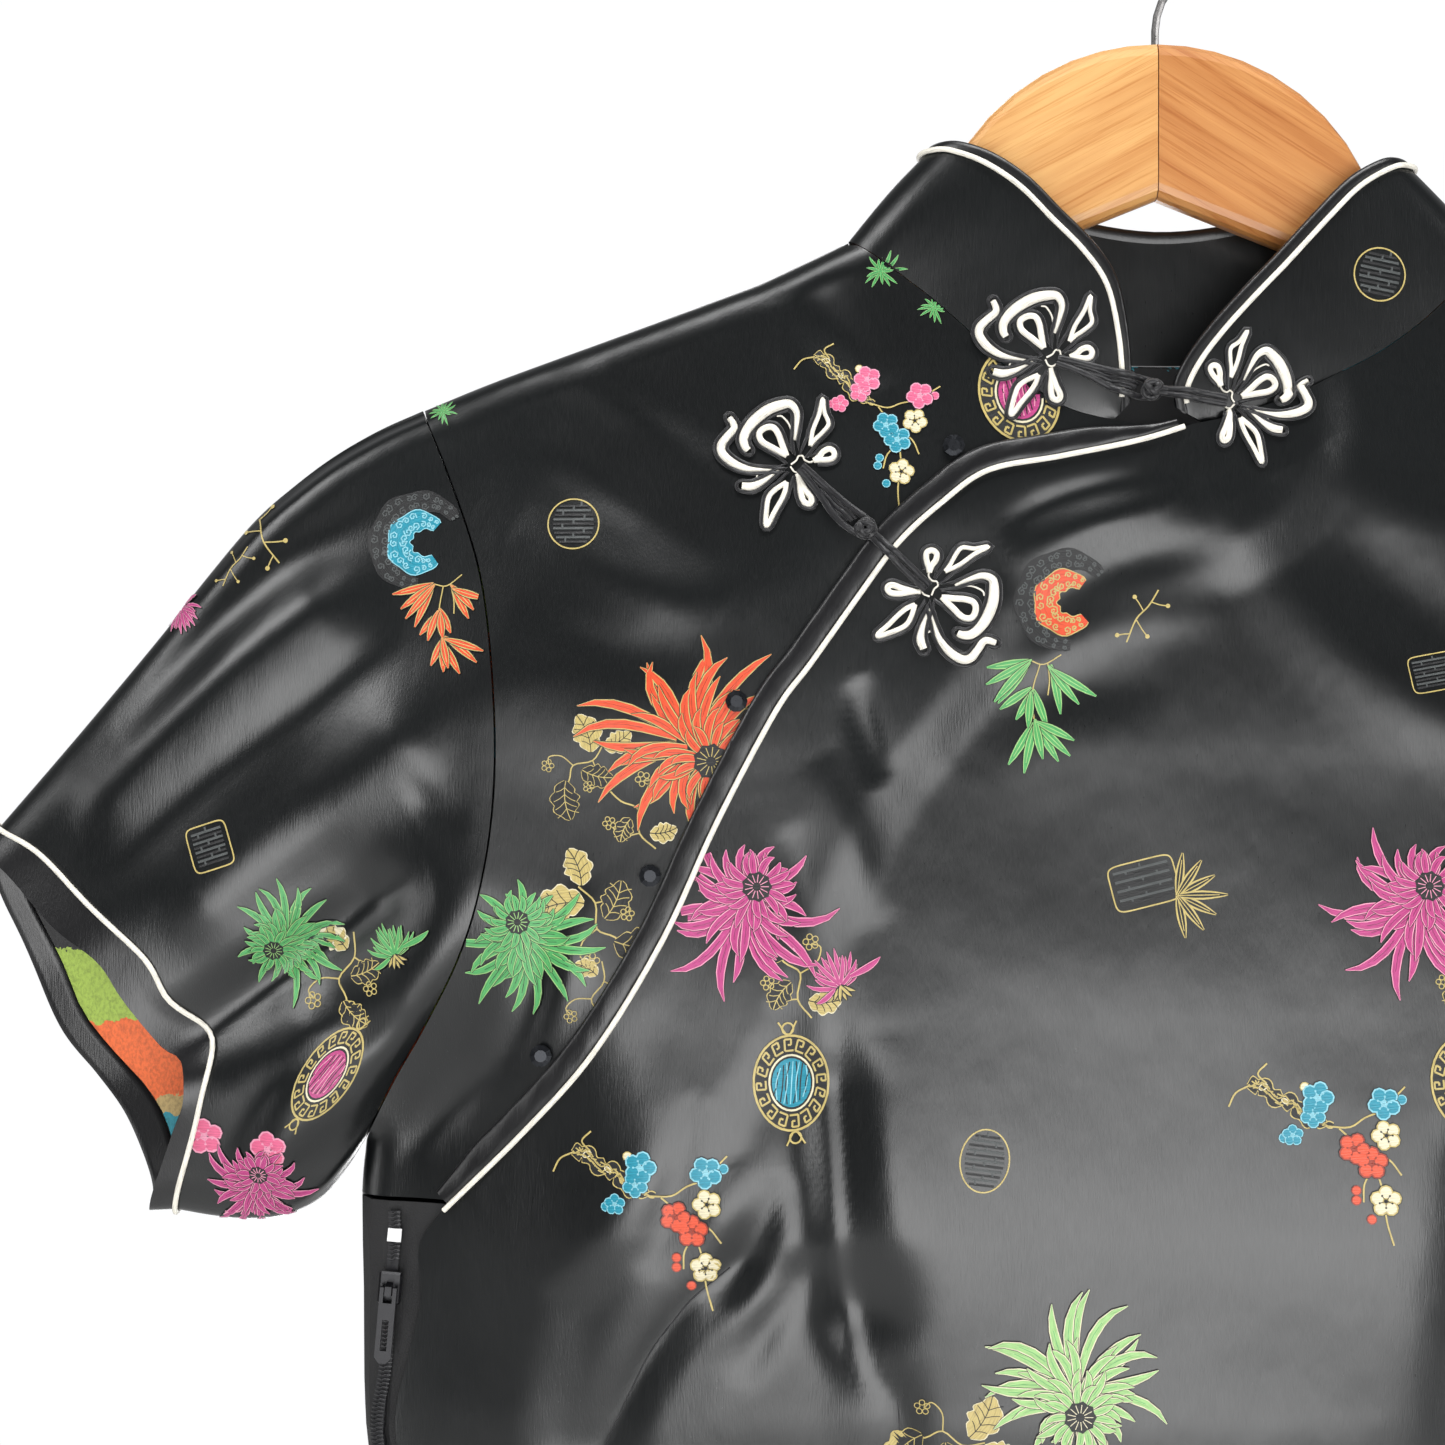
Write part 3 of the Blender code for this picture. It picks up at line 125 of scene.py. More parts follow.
# Folds that the solids have: columns x and z of each end, half width, height
FRONT_FOLDS = ((-153.0, -447.0, -121.0, -397.0, 11.0, -3.0), (-91.0, -352.0, -84.0, -408.0, 12.0, -4.0),
               (-84.0, -408.0, -72.0, -520.0, 14.0, -4.0), (86.0, -372.0, 74.0, -520.0, 14.0, -4.0),
               (150.0, -440.0, 124.0, -398.0, 11.0, -3.0),
               (-62.0, -640.0, -76.0, -1090.0, 30.0, 5.0), (58.0, -610.0, 84.0, -1095.0, 34.0, 4.5),
               (4.0, -700.0, -6.0, -1096.0, 26.0, -4.5), (-150.0, -700.0, -158.0, -1090.0, 28.0, -4.0),
               (148.0, -660.0, 160.0, -1096.0, 26.0, -4.0))
BACK_FOLDS = ((-72.0, -385.0, -70.0, -600.0, 14.0, -4.0), (70.0, -395.0, 74.0, -612.0, 14.0, -4.0),
              (-104.0, -690.0, -112.0, -1092.0, 30.0, 4.0), (20.0, -720.0, 12.0, -1095.0, 30.0, -4.0),
              (118.0, -650.0, 130.0, -1096.0, 32.0, 4.0), (-8.0, -215.0, 4.0, -340.0, 26.0, 3.0))
SLEEVE_FOLDS = ((-266.0, -337.0, -221.0, -300.0, 13.0, -6.0), (-292.0, -268.0, -236.0, -222.0, 14.0, 3.5),
                (-262.0, -300.0, -212.0, -258.0, 13.0, 3.5), (-248.0, -376.0, -232.0, -340.0, 10.0, 3.0))

# Creases that only the cloth here has: height, half width, then the line's points x, z
FRONT_CREASES = (
    (-1.2, 2.4, ((-156.0, -452.0), (-141.4, -421.5), (-129.2, -405.3), (-114.0, -393.0))),
    (1.1, 5.0, ((-148.0, -452.0), (-132.0, -424.0), (-120.0, -410.0), (-104.0, -399.0))),
    (-1.2, 2.4, ((153.0, -446.0), (138.0, -417.0), (120.0, -392.0))),
    (-0.8, 2.2, ((-74.0, -440.0), (-72.0, -500.0), (-73.0, -560.0), (-76.0, -612.0))),
    (-0.8, 2.2, ((80.0, -450.0), (74.0, -510.0), (75.0, -565.0), (77.0, -612.0))),
    (-2.3, 5.6, ((-93.0, -318.0), (-92.0, -360.0), (-90.0, -400.0), (-84.0, -424.0), (-74.5, -436.0),
                 (-73.5, -462.0))),
    (1.5, 8.0, ((-80.0, -336.0), (-78.0, -372.0), (-74.0, -412.0))),
    (1.2, 7.0, ((-106.0, -330.0), (-106.0, -368.0), (-102.0, -398.0))),
    (-1.9, 5.0, ((-106.0, -372.0), (-114.0, -392.0), (-124.0, -408.0))),
    (-1.5, 4.5, ((-98.0, -392.0), (-108.0, -410.0), (-118.0, -428.0))),
    (1.4, 5.0, ((-118.0, -368.0), (-124.0, -392.0), (-134.0, -418.0))),
    (-1.3, 5.0, ((-128.0, -352.0), (-136.0, -378.0), (-142.0, -400.0))),
    (-1.7, 4.2, ((-86.0, -240.0), (-84.0, -252.0), (-79.0, -268.0))),
    (1.3, 5.5, ((-96.0, -262.0), (-88.0, -282.0), (-80.0, -306.0))),
    (-1.2, 4.6, ((-104.0, -280.0), (-99.0, -302.0), (-96.0, -322.0))),
    (-1.2, 4.0, ((-46.0, -200.0), (-30.0, -190.0), (-8.0, -184.0))),
    (1.3, 5.0, ((-44.0, -209.0), (-22.0, -198.0), (6.0, -190.0))),
    (-1.4, 5.5, ((-42.0, -222.0), (-16.0, -210.0), (18.0, -203.0))),
    (1.2, 6.0, ((-48.0, -240.0), (-20.0, -226.0), (16.0, -220.0))),
    (-1.0, 8.0, ((-60.0, -262.0), (-36.0, -246.0), (0.0, -240.0))),
    (1.4, 11.0, ((10.0, -188.0), (30.0, -215.0), (66.0, -246.0), (112.0, -262.0))),
    (-1.5, 12.0, ((36.0, -180.0), (60.0, -214.0), (100.0, -238.0), (150.0, -244.0))),
    (1.2, 14.0, ((90.0, -150.0), (120.0, -190.0), (160.0, -226.0))),
    (-1.3, 12.0, ((184.0, -300.0), (150.0, -316.0), (112.0, -352.0))),
    (1.2, 12.0, ((196.0, -330.0), (160.0, -352.0), (130.0, -384.0))),
    (-1.4, 8.0, ((88.0, -340.0), (88.0, -372.0), (82.0, -420.0))),
    (-2.0, 10.0, ((-196.0, -546.0), (-150.0, -556.0), (-96.0, -544.0))),
    (1.8, 11.0, ((-190.0, -574.0), (-140.0, -590.0), (-82.0, -580.0))),
    (-2.0, 10.0, ((196.0, -540.0), (148.0, -552.0), (90.0, -546.0))),
    (1.8, 12.0, ((192.0, -572.0), (140.0, -586.0), (84.0, -582.0))),
    (-1.6, 12.0, ((-30.0, -570.0), (-34.0, -640.0), (-28.0, -720.0))),
    (1.6, 16.0, ((-110.0, -650.0), (-118.0, -800.0), (-114.0, -960.0))),
    (-1.8, 15.0, ((-36.0, -800.0), (-40.0, -930.0), (-36.0, -1080.0))),
    (1.8, 15.0, ((40.0, -780.0), (44.0, -900.0), (38.0, -1060.0))),
    (-1.6, 16.0, ((112.0, -720.0), (118.0, -860.0), (122.0, -1040.0))),
    (1.4, 14.0, ((186.0, -740.0), (192.0, -860.0), (190.0, -1020.0))),
)
FLAP_CREASES = (
    (1.2, 6.0, ((-168.0, -150.0), (-140.0, -172.0), (-112.0, -192.0))),
    (-1.5, 7.0, ((-174.0, -172.0), (-146.0, -192.0), (-116.0, -210.0))),
    (1.3, 7.0, ((-178.0, -196.0), (-150.0, -212.0), (-120.0, -222.0))),
    (-1.2, 8.0, ((-180.0, -224.0), (-154.0, -232.0), (-128.0, -234.0))),
    (-1.4, 7.0, ((-96.0, -128.0), (-90.0, -142.0), (-78.0, -160.0))),
    (1.2, 6.0, ((-106.0, -134.0), (-102.0, -150.0), (-92.0, -168.0))),
    (-1.2, 5.0, ((-168.0, -300.0), (-174.0, -330.0), (-186.0, -352.0))),
    (1.0, 5.0, ((-158.0, -296.0), (-164.0, -322.0), (-172.0, -342.0))),
    (-1.2, 5.0, ((-186.0, -346.0), (-198.0, -360.0), (-210.0, -374.0))),
)
BACK_CREASES = (
    (-1.6, 10.0, ((-150.0, -200.0), (-110.0, -226.0), (-60.0, -236.0))),
    (1.4, 11.0, ((-160.0, -250.0), (-104.0, -276.0), (-50.0, -288.0))),
    (-1.5, 10.0, ((150.0, -196.0), (108.0, -222.0), (62.0, -230.0))),
    (1.5, 12.0, ((164.0, -260.0), (110.0, -280.0), (60.0, -286.0))),
    (-2.0, 10.0, ((-194.0, -544.0), (-140.0, -560.0), (-80.0, -552.0))),
    (1.6, 12.0, ((-188.0, -576.0), (-130.0, -592.0), (-70.0, -586.0))),
    (-2.0, 11.0, ((194.0, -548.0), (144.0, -560.0), (84.0, -556.0))),
    (1.6, 12.0, ((190.0, -580.0), (136.0, -594.0), (76.0, -588.0))),
    (-1.7, 14.0, ((-56.0, -700.0), (-60.0, -860.0), (-54.0, -1060.0))),
    (1.7, 15.0, ((64.0, -720.0), (70.0, -880.0), (64.0, -1070.0))),
    (-1.6, 14.0, ((170.0, -740.0), (176.0, -900.0), (172.0, -1040.0))),
    (1.6, 15.0, ((-170.0, -720.0), (-176.0, -880.0), (-172.0, -1050.0))),
)
SLEEVE_CREASES = (
    (-2.2, 5.5, ((-282.0, -352.0), (-262.0, -336.0), (-240.0, -320.0), (-216.0, -302.0), (-200.0, -296.0))),
    (1.8, 6.0, ((-278.0, -330.0), (-254.0, -314.0), (-226.0, -296.0), (-206.0, -286.0))),
    (-1.5, 6.5, ((-296.0, -300.0), (-268.0, -272.0), (-238.0, -248.0), (-206.0, -228.0))),
    (1.4, 7.0, ((-302.0, -282.0), (-276.0, -252.0), (-246.0, -226.0), (-214.0, -206.0))),
    (-1.4, 7.0, ((-290.0, -256.0), (-262.0, -226.0), (-234.0, -204.0), (-210.0, -190.0))),
    (-1.5, 5.0, ((-262.0, -372.0), (-246.0, -352.0), (-222.0, -338.0), (-208.0, -330.0))),
    (1.3, 5.0, ((-258.0, -384.0), (-240.0, -366.0), (-222.0, -352.0))),
    (-1.0, 3.0, ((-208.0, -268.0), (-200.0, -276.0), (-190.0, -279.0))),
)


def srgb(code, alpha=1.0):
    """Linear colour of a six-figure colour code."""
    values = [int(code[k:k + 2], 16) / 255.0 for k in (0, 2, 4)]
    return (*(v / 12.92 if v <= 0.04045 else ((v + 0.055) / 1.055) ** 2.4 for v in values), alpha)


# Small number helpers on arrays
def smooth(value):
    value = np.clip(value, 0.0, 1.0)
    return value * value * (3.0 - 2.0 * value)


def lerp(a, b, t):
    return a + (b - a) * t


def lookup(table, key, column):
    """Read a column of a table whose first column falls, easing between its rows."""
    rows = np.array(table)[::-1]
    place = np.clip(np.searchsorted(rows[:, 0], key) - 1, 0, len(rows) - 2)
    low, high = rows[place], rows[place + 1]
    share = np.clip((high[..., 0] - key) / (high[..., 0] - low[..., 0]), 0.0, 1.0)
    share = smooth(share) * 0.5 + share * 0.5
    return lerp(high[..., column], low[..., column], share)


def x_at(table, z):
    """x of an outline that falls, at a height."""
    rows = np.array(table)[::-1]
    return np.interp(z, rows[:, 1], rows[:, 0])


def z_at(table, x):
    """Height of an outline that runs to the right, at a place."""
    rows = np.array(table)
    return np.interp(x, rows[:, 0], rows[:, 1])


def mirrored(table):
    return tuple((-row[0], *row[1:]) for row in table)


def unit(vectors):
    return vectors / np.maximum(np.linalg.norm(vectors, axis=-1, keepdims=True), 1e-9)


class Path:
    """A smooth curve through given points, read by the share of its length."""

    def __init__(self, points, steps=8):
        p = np.array(points, float)
        p = np.vstack([2.0 * p[0] - p[1], p, 2.0 * p[-1] - p[-2]])
        a, b, c, d = (p[k:len(p) - 3 + k][:, None, :] for k in range(4))
        t = (np.arange(steps) / steps)[None, :, None]
        bend = (c - a) * t + (2.0 * a - 5.0 * b + 4.0 * c - d) * t ** 2 + (3.0 * b - a - 3.0 * c + d) * t ** 3
        self.points = np.vstack([(b + bend * 0.5).reshape(-1, p.shape[1]), p[-2]])
        steps_run = np.linalg.norm(np.diff(self.points, axis=0), axis=1)
        self.run = np.concatenate([[0.0], np.cumsum(steps_run)])
        self.length = self.run[-1]

    def at(self, share):
        target = np.clip(share, 0.0, 1.0) * self.length
        return np.stack([np.interp(target, self.run, column) for column in self.points.T], axis=-1)

    def side(self, share):
        """Unit vector square to a plane curve, on its right as it runs."""
        share = np.asarray(share, float)
        run = self.at(share + 0.004) - self.at(share - 0.004)
        return unit(np.stack([run[..., 1], -run[..., 0]], axis=-1))


ARMHOLE_LINE = Path(ARMHOLE).points
SIDE_LINE = Path(SIDE).points
OPENING_PATH = Path(OPENING)
FRONT_EDGE_PATH = Path((*OPENING, *ZIP_EDGE[1:]))
CHAIN_PATH = Path(ZIP_CHAIN)


def width_at(z):
    upper = np.where(z >= ARMHOLE[0][1], ARMHOLE[0][0], x_at(ARMHOLE_LINE, z))
    return np.where(z >= ARMHOLE[-1][1], upper, x_at(SIDE_LINE, z))


# Form of the body: depth of the cloth at a place in the plane of the garment
def along_line(x, z, line):
    """Distance from a line of points and the share of its length, both at x, z."""
    best = np.full(np.shape(x), 1e9)
    share = np.zeros(np.shape(x))
    run, total = 0.0, sum(math.dist(a, b) for a, b in zip(line, line[1:]))
    for a, b in zip(line, line[1:]):
        dx, dz = b[0] - a[0], b[1] - a[1]
        span = dx * dx + dz * dz
        t = np.clip(((x - a[0]) * dx + (z - a[1]) * dz) / span, 0.0, 1.0)
        away = np.hypot(x - a[0] - dx * t, z - a[1] - dz * t)
        near = away < best
        best = np.where(near, away, best)
        share = np.where(near, (run + t * math.sqrt(span)) / total, share)
        run += math.sqrt(span)
    return best, share


def folds(x, z, table):
    """Broad folds along straight lines, as the solids have them."""
    total = np.zeros(np.shape(x))
    for x0, z0, x1, z1, half_width, height in table:
        away = along_line(x, z, ((x0, z0), (x1, z1)))[0]
        total += height * np.exp(-(away / half_width) ** 2)
    return total


def creases(x, z, table):
    """Narrow folds along curved lines, which fade out at both ends."""
    total = np.zeros(np.shape(x))
    for height, half_width, points in table:
        away, share = along_line(x, z, Path(points, 4).points)
        total += height * np.sin(math.pi * np.clip(share, 0.0, 1.0)) ** 0.7 * np.exp(-(away / half_width) ** 2)
    return total


def unrest(x, z, turn=0.0):
    """Slow shallow waves that keep the satin from lying like a board."""
    wave = 0.30 * np.sin(x / 23.0 + 1.7 * np.sin(z / 61.0) + turn) * np.sin(z / 37.0 + 0.6 * turn)
    wave += 0.16 * np.sin((x + 0.6 * z) / 11.5 + turn) * np.sin((z - 0.4 * x) / 17.0 + 2.0)
    return wave


def inset(x, z):
    """Distance in from the nearest silhouette of the body, and the inward direction."""
    side_x = np.abs(x)
    sign = np.where(x > 0.0, -1.0, 1.0)
    below = (z_at(SHOULDER, side_x) - z) * math.cos(SHOULDER_TILT)
    dx, dz = side_x - SIDE[0][0], z - SIDE[0][1]
    radial = np.maximum(np.hypot(dx, dz), 1e-6)
    under = z <= SIDE[0][1]
    across = np.where(under, x_at(SIDE_LINE, z) - side_x, radial)
    inward_x = np.where(under, sign, -sign * dx / radial)
    inward_z = np.where(under, 0.0, dz / radial)
    top = below < across
    distance = np.maximum(np.where(top, below, across), 0.0)
    inward_x = np.where(top, sign * math.sin(SHOULDER_TILT), inward_x)
    inward_z = np.where(top, -math.cos(SHOULDER_TILT), inward_z)
    return distance, inward_x, inward_z


def slit_gape(z):
    return SLIT_GAPE * smooth((SLIT_TOP_Z - z) / (SLIT_TOP_Z - HEM_Z))


def body_point(x, z, facing, lift=0.0, detail=None):
    """Points of the body's surface in millimetres; facing is -1 for the front, 1 for the back."""
    x, z = np.asarray(x, float), np.asarray(z, float)
    deep = lookup(DEPTHS, z, 1 if facing < 0.0 else 2)
    distance, inward_x, inward_z = inset(x, z)
    cosine = 1.0 - np.minimum(distance / EDGE_REACH, 1.0)
    sine = np.sqrt(1.0 - cosine ** 2)
    fullness = smooth(distance / BODY_RISE)
    if facing < 0.0:
        deep = deep + 5.0 * np.exp(-((np.abs(x) - 92.0) / 58.0) ** 2 - ((z + 385.0) / 62.0) ** 2)
    crease = folds(x, z, FRONT_FOLDS if facing < 0.0 else BACK_FOLDS) * smooth(distance / 30.0)
    if detail is not None:
        crease = crease + detail(x, z) * smooth(distance / 14.0)
    depth = SEAM + slit_gape(z) + EDGE_DEPTH * sine + (deep - EDGE_DEPTH) * fullness + crease
    out = unit(np.stack([-inward_x * EDGE_DEPTH * cosine, facing * EDGE_REACH * sine,
                         -inward_z * EDGE_DEPTH * cosine], axis=-1))
    return np.stack([x, facing * depth, z], axis=-1) + out * np.asarray(lift)[..., None]


def front_lift(x, z):
    """How far the front stands off where the under flap and the zip lie below it."""
    near = along_line(x, z, FRONT_EDGE_PATH.points[::3])[0]
    return FLAP_LIFT * (1.0 - smooth((near - OVERLAP - 11.0) / 18.0)) * smooth((z + 660.0) / 40.0)


def front_detail(x, z):
    away = along_line(x, z, FRONT_EDGE_PATH.points[::4])[0]
    calm = smooth((away - 3.0) / 12.0)
    return (creases(x, z, FRONT_CREASES) + unrest(x, z)) * calm


def flap_detail(x, z):
    away = along_line(x, z, Path(NECK_LEFT).points[::4])[0]
    return (creases(x, z, FLAP_CREASES) + unrest(x, z, 1.0)) * smooth((away - 2.0) / 10.0)


def back_detail(x, z):
    away = along_line(x, z, Path(NECK_BACK).points[::4])[0]
    return (creases(x, z, BACK_CREASES) + unrest(x, z, 2.3)) * smooth((away - 2.0) / 10.0)


# Materials
EVEN = (1.0, 1.0, 1.0)


def new_material(name, roughness, metallic=0.0, **sockets):
    """A material, its shader and a helper that adds and links nodes."""
    made = bpy.data.materials.new(name)
    made.use_nodes = True
    tree = made.node_tree
    shader = tree.nodes["Principled BSDF"]
    shader.inputs["Roughness"].default_value = roughness
    shader.inputs["Metallic"].default_value = metallic
    for key, value in sockets.items():
        shader.inputs[key.replace("_", " ")].default_value = value

    def add(kind, inputs=(), **settings):
        node = tree.nodes.new(kind)
        for key, value in settings.items():
            setattr(node, key, value)
        for key, value in inputs:
            if isinstance(value, bpy.types.NodeSocket):
                tree.links.new(value, node.inputs[key])
            else:
                node.inputs[key].default_value = value
        return node

    return made, shader, tree, add


def stretched(add, scale, source="Object"):
    """Coordinates scaled by a different number along each axis."""
    place = add("ShaderNodeTexCoord")
    mapping = add("ShaderNodeMapping", (("Vector", place.outputs[source]), ("Scale", scale)))
    return mapping.outputs["Vector"]


def noise(add, vector, scale, detail=3.0, rough=0.55, distortion=0.0):
    made = add("ShaderNodeTexNoise", (("Vector", vector), ("Scale", scale), ("Detail", detail),
                                      ("Roughness", rough), ("Distortion", distortion)))
    return made.outputs["Fac"]


def ramp(add, value, stops, easing="LINEAR"):
    """Colours at places of a scale from 0 to 1."""
    made = add("ShaderNodeValToRGB", (("Fac", value),))
    made.color_ramp.interpolation = easing
    elements = made.color_ramp.elements
    while len(elements) < len(stops):
        elements.new(0.5)
    for element, (position, colour) in zip(elements, stops):
        element.position = position
        element.color = colour
    return made.outputs["Color"]


def scaled(add, value, factor, offset):
    """A number times a factor plus an offset."""
    made = add("ShaderNodeMath", ((0, value), (1, factor), (2, offset)), operation="MULTIPLY_ADD")
    return made.outputs["Value"]


def multiplied(add, base, veil, share):
    """A colour darkened by a share of another."""
    made = add("ShaderNodeMix", (), data_type="RGBA", blend_type="MULTIPLY")
    made.inputs[0].default_value = share
    tree = made.id_data
    tree.links.new(base, made.inputs[6])
    tree.links.new(veil, made.inputs[7])
    return made.outputs[2]


def levels(add, value, low, high):
    made = add("ShaderNodeMapRange", (("Value", value), ("To Min", low), ("To Max", high)))
    return made.outputs["Result"]


def bumped(add, shader, tree, height, strength, distance, before=None):
    inputs = [("Height", height), ("Strength", strength), ("Distance", distance)]
    if before is not None:
        inputs.append(("Normal", before))
    made = add("ShaderNodeBump", tuple(inputs))
    tree.links.new(made.outputs["Normal"], shader.inputs["Normal"])
    return made.outputs["Normal"]


def satin_material(name, dark, light, roughness, streak=1.0):
    """Satin: long warp floats as fine upright streaks, with slow changes of tone and gloss."""
    made, shader, tree, add = new_material(name, roughness, Specular_IOR_Level=0.62)
    plain = stretched(add, EVEN)
    slow = noise(add, plain, 16.0, 2.0)
    tree.links.new(ramp(add, slow, ((0.3, dark), (0.7, light))), shader.inputs["Base Color"])
    floats = noise(add, stretched(add, (2600.0, 2600.0, 240.0)), 1.0, 2.0, 0.6)
    tree.links.new(scaled(add, floats, 0.10, roughness - 0.05), shader.inputs["Roughness"])
    first = bumped(add, shader, tree, floats, 0.20 * streak, 0.0002)
    ripple = noise(add, stretched(add, (1.0, 1.0, 0.7)), 60.0, 2.0, 0.4)
    bumped(add, shader, tree, ripple, 0.10, 0.004, first)
    return made


def thread_material(name, code, shine=0.42):
    """Floating silk: fine strands that run along each figure, slightly lighter and darker."""
    made, shader, tree, add = new_material(name, shine, Sheen_Weight=0.25, Sheen_Roughness=0.4)
    colour = tuple(c * 0.80 for c in srgb(code)[:3]) + (1.0,)
    deep = tuple(c * 0.60 for c in colour[:3]) + (1.0,)
    pale = tuple(min(c * 1.15 + 0.01, 1.0) for c in colour[:3]) + (1.0,)
    strands = noise(add, stretched(add, (220.0, 2400.0, 1.0), "UV"), 1.0, 2.0, 0.6)
    tree.links.new(ramp(add, strands, ((0.25, deep), (0.5, colour), (0.8, pale))), shader.inputs["Base Color"])
    bumped(add, shader, tree, strands, 0.55, 0.0003)
    return made


def wood_material(name, pale, dark, lines, tilt):
    """Varnished wood: long grain at an angle, broad bands, short pores."""
    made, shader, tree, add = new_material(name, 0.42, Coat_Weight=0.25, Coat_Roughness=0.3)
    place = add("ShaderNodeTexCoord")
    turned = add("ShaderNodeMapping", (("Vector", place.outputs["Object"]), ("Rotation", (0.0, tilt, 0.0))))

    def grain(scale, rough, distortion):
        made = add("ShaderNodeMapping", (("Vector", turned.outputs["Vector"]), ("Scale", scale)))
        return noise(add, made.outputs["Vector"], 1.0, 3.0, rough, distortion)

    broad, fine = grain((9.0, 60.0, 150.0), 0.55, 0.5), grain((30.0, 500.0, 1500.0), 0.65, 0.2)
    base = ramp(add, broad, ((0.28, dark), (0.5, tuple(lerp(a, b, 0.5) for a, b in zip(dark, pale))),
                             (0.72, pale)))
    pores = ramp(add, fine, ((0.34, lines), (0.5, (1.0, 1.0, 1.0, 1.0))))
    tree.links.new(multiplied(add, base, pores, 0.75), shader.inputs["Base Color"])
    tree.links.new(levels(add, fine, 0.34, 0.52), shader.inputs["Roughness"])
    bumped(add, shader, tree, fine, 0.25, 0.0003)
    return made


def plain_material(name, code, roughness, metallic=0.0, grain=900.0, strength=0.15, spread=0.25, **sockets):
    """Small parts: colour and gloss that change a little at a fine scale, and a light bump."""
    made, shader, tree, add = new_material(name, roughness, metallic, **sockets)
    colour = srgb(code)
    deep = tuple(c * (1.0 - spread) for c in colour[:3]) + (1.0,)
    grains = noise(add, stretched(add, EVEN), grain, 3.0)
    tree.links.new(ramp(add, grains, ((0.3, deep), (0.7, colour))), shader.inputs["Base Color"])
    gloss = levels(add, grains, max(roughness - 0.06, 0.02), roughness + 0.08)
    tree.links.new(gloss, shader.inputs["Roughness"])
    bumped(add, shader, tree, grains, strength, 0.0002)
    return made


def reverse_material(name):
    """Wrong side of the brocade: dull diagonal floats in broad bands of the pattern's colours."""
    made, shader, tree, add = new_material(name, 0.6, Sheen_Weight=0.2)
    coordinates = add("ShaderNodeTexCoord")
    split = add("ShaderNodeSeparateXYZ", (("Vector", coordinates.outputs["Object"]),))
    ragged = noise(add, stretched(add, EVEN), 130.0, 4.0, 0.7)
    height = scaled(add, ragged, 0.012, split.outputs["Z"])
    share = add("ShaderNodeMath", ((0, scaled(add, height, -9.0, -2.6)),), operation="FRACT")
    stops = ((0.0, "121214"), (0.20, "9BB54A"), (0.38, "E56A33"), (0.57, "B9A06A"), (0.62, "2C8FA0"),
             (0.70, "121214"))
    bands = ramp(add, share.outputs["Value"], [(place, srgb(code)) for place, code in stops], "CONSTANT")
    twill = noise(add, stretched(add, (1400.0, 1400.0, 900.0)), 1.0, 2.0)
    lines = ramp(add, twill, ((0.3, (0.45, 0.45, 0.45, 1.0)), (0.6, (1.0, 1.0, 1.0, 1.0))))
    tree.links.new(multiplied(add, bands, lines, 0.6), shader.inputs["Base Color"])
    bumped(add, shader, tree, twill, 0.5, 0.0003)
    return made


BROCADE = satin_material("brocade_satin", srgb("050708"), srgb("0B0E0F"), 0.30)
SATIN = satin_material("binding_satin", srgb("050507"), srgb("09090C"), 0.34, 1.6)
REVERSE = reverse_material("brocade_reverse")
CREAM = thread_material("cream_cord", "FFFAEC", 0.45)
BLACK_CORD = thread_material("black_cord", "141418", 0.38)
WOOD_LEFT = wood_material("wood_left", srgb("D8A768"), srgb("BC8044"), (0.78, 0.62, 0.42, 1.0),
                          math.radians(28.0))
WOOD_RIGHT = wood_material("wood_right", srgb("C98F53"), srgb("A86830"), (0.74, 0.55, 0.36, 1.0),
                           math.radians(-32.0))
STEEL = plain_material("hook_steel", "A9A7A6", 0.28, 1.0, 1400.0, 0.06)
ZIP_TAPE = plain_material("zip_tape_weave", "151517", 0.62, 0.0, 1800.0, 0.5, 0.5)
ZIP_COIL = plain_material("zip_coil_nylon", "1D1D20", 0.40, 0.0, 1500.0, 0.1)
ZIP_METAL = plain_material("zip_enamel", "17171A", 0.30, 0.55, 700.0, 0.05)
ZIP_STOP = plain_material("zip_stop_white", "DADADA", 0.38, 0.0, 900.0, 0.05, 0.08)
STUD = plain_material("stud_lacquer", "26282C", 0.28, 0.7, 900.0, 0.05)


UPRIGHT = np.array([0.0, 0.0, 1.0])


# Mesh builders: everything below works in millimetres
def place_mesh(name, vertices, faces, materials, uvs=None, face_material=None, sharp=math.radians(50.0)):
    mesh = bpy.data.meshes.new(name)
    mesh.from_pydata((np.asarray(vertices) * MM).tolist(), [], np.asarray(faces).tolist()
                     if isinstance(faces, np.ndarray) else faces)
    for entry in materials:
        mesh.materials.append(entry)
    if face_material is not None:
        mesh.polygons.foreach_set("material_index", np.asarray(face_material, np.int32))
    if uvs is not None:
        layer = mesh.uv_layers.new(name="run")
        corners = np.zeros(len(mesh.loops), np.int32)
        mesh.loops.foreach_get("vertex_index", corners)
        layer.data.foreach_set("uv", (np.asarray(uvs, np.float32) * MM)[corners].ravel())
    mesh.shade_smooth()
    if sharp:
        mesh.set_sharp_from_angle(angle=sharp)
    mesh.update()
    made = bpy.data.objects.new(name, mesh)
    bpy.context.collection.objects.link(made)
    return made


def grid_faces(rows, columns, closed=False, start=0, flip=False):
    r = np.arange(rows - 1)[:, None]
    c = np.arange(columns if closed else columns - 1)[None, :]
    d = (c + 1) % columns
    quads = np.stack([r * columns + c, r * columns + d, (r + 1) * columns + d, (r + 1) * columns + c], axis=-1)
    quads = quads.reshape(-1, 4) + start
    return quads[:, ::-1] if flip else quads


